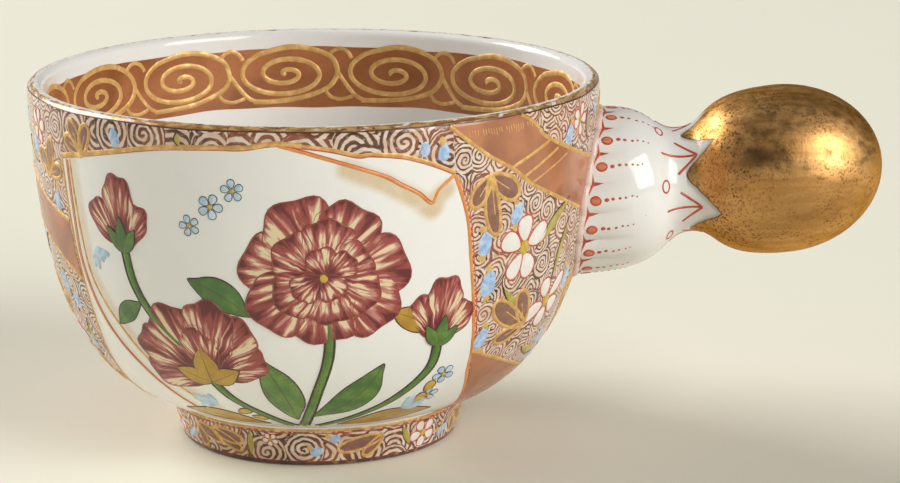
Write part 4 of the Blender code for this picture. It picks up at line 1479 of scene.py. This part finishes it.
# Stage: a pale cream sweep, one wide soft light from the left and behind, and a softbox at the front right.
stageLook = {"floor": (0.865, 0.845, 0.725), "fade": (0.85, 0.83, 0.71), "size": 2.4,
             "world": (1.0, 0.985, 0.95), "brightSide": (-0.6, 0.45, -0.65), "dim": 0.06, "bright": 0.48}
lamps = {
    "key": {"from": (-0.76, 0.42, 0.48), "away": 2.4, "size": (1.38, 1.38), "power": 58.0,
            "colour": (1.0, 0.985, 0.95)},
    "softbox": {"from": (0.74, -0.52, 0.47), "away": 2.6, "size": (1.73, 1.82), "power": 59.0,
                "colour": (1.0, 0.985, 0.955)},
}
cameraLook = {"target": (16.5, 0.0, 23.55), "distance": 350.0, "elevation": 13.52, "roll": -0.23,
              "focal": 2822.0, "width": 900, "sensor": 36.0}      # focal and width in pixels


def buildStage():
    made = Finish("sweep_paper", roughness=0.7)
    made.set("baseColor", made.mix(made.noise(0.02, 3.0), stageLook["floor"], stageLook["fade"]))
    made.bump(made.noise(1.5, 3.0), 0.01)
    bm = bmesh.new()
    bmesh.ops.create_grid(bm, x_segments=8, y_segments=8, size=stageLook["size"])
    floor = bpy.data.objects.new("sweep", meshFrom(bm, "sweep"))
    scene.collection.objects.link(floor)
    floor.data.materials.append(made.material)


def buildLight():
    world = bpy.data.worlds.new("studio")
    scene.world = world
    world.use_nodes = True
    tree = world.node_tree
    room = tree.nodes["Background"]
    room.inputs["Color"].default_value = (*stageLook["world"], 1.0)
    ways = tree.nodes.new("ShaderNodeTexCoord")
    facing = tree.nodes.new("ShaderNodeVectorMath")
    facing.operation = "DOT_PRODUCT"
    facing.inputs[1].default_value = stageLook["brightSide"]
    level = tree.nodes.new("ShaderNodeMapRange")
    level.inputs["From Min"].default_value = -1.0
    level.inputs["To Min"].default_value = stageLook["dim"]
    level.inputs["To Max"].default_value = stageLook["bright"]
    tree.links.new(ways.outputs["Generated"], facing.inputs[0])
    tree.links.new(facing.outputs["Value"], level.inputs["Value"])
    tree.links.new(level.outputs["Result"], room.inputs["Strength"])
    aim = Vector((0.0, 0.0, bowl["lipTop"] / 2)) * mm
    for name, lamp in lamps.items():
        light = bpy.data.lights.new(name, "AREA")
        light.shape = "RECTANGLE"
        light.size, light.size_y = lamp["size"]
        light.energy = lamp["power"]
        light.color = lamp["colour"]
        shown = bpy.data.objects.new(name, light)
        away = Vector(lamp["from"]).normalized()
        shown.location = aim + away * lamp["away"]
        shown.rotation_euler = (-away).to_track_quat("-Z", "Y").to_euler()
        shown.visible_camera = False
        scene.collection.objects.link(shown)


def buildCamera():
    camera = bpy.data.cameras.new("camera")
    camera.sensor_width = cameraLook["sensor"]
    camera.lens = cameraLook["focal"] * camera.sensor_width / cameraLook["width"]
    camera.clip_start, camera.clip_end = 0.01, 20.0
    shown = bpy.data.objects.new("camera", camera)
    target = (Vector(cameraLook["target"]) + Vector(cupAxis)) * mm
    e = math.radians(cameraLook["elevation"])
    back = Vector((0.0, -math.cos(e), math.sin(e)))
    shown.location = target + back * cameraLook["distance"] * mm
    level = (-back).to_track_quat("-Z", "Y")
    shown.rotation_euler = (level @ Quaternion((0.0, 0.0, 1.0), math.radians(cameraLook["roll"]))).to_euler()
    scene.collection.objects.link(shown)
    scene.camera = shown


buildStage()
buildLight()
buildCamera()
scene.view_settings.view_transform = "Standard"
print("stage set")
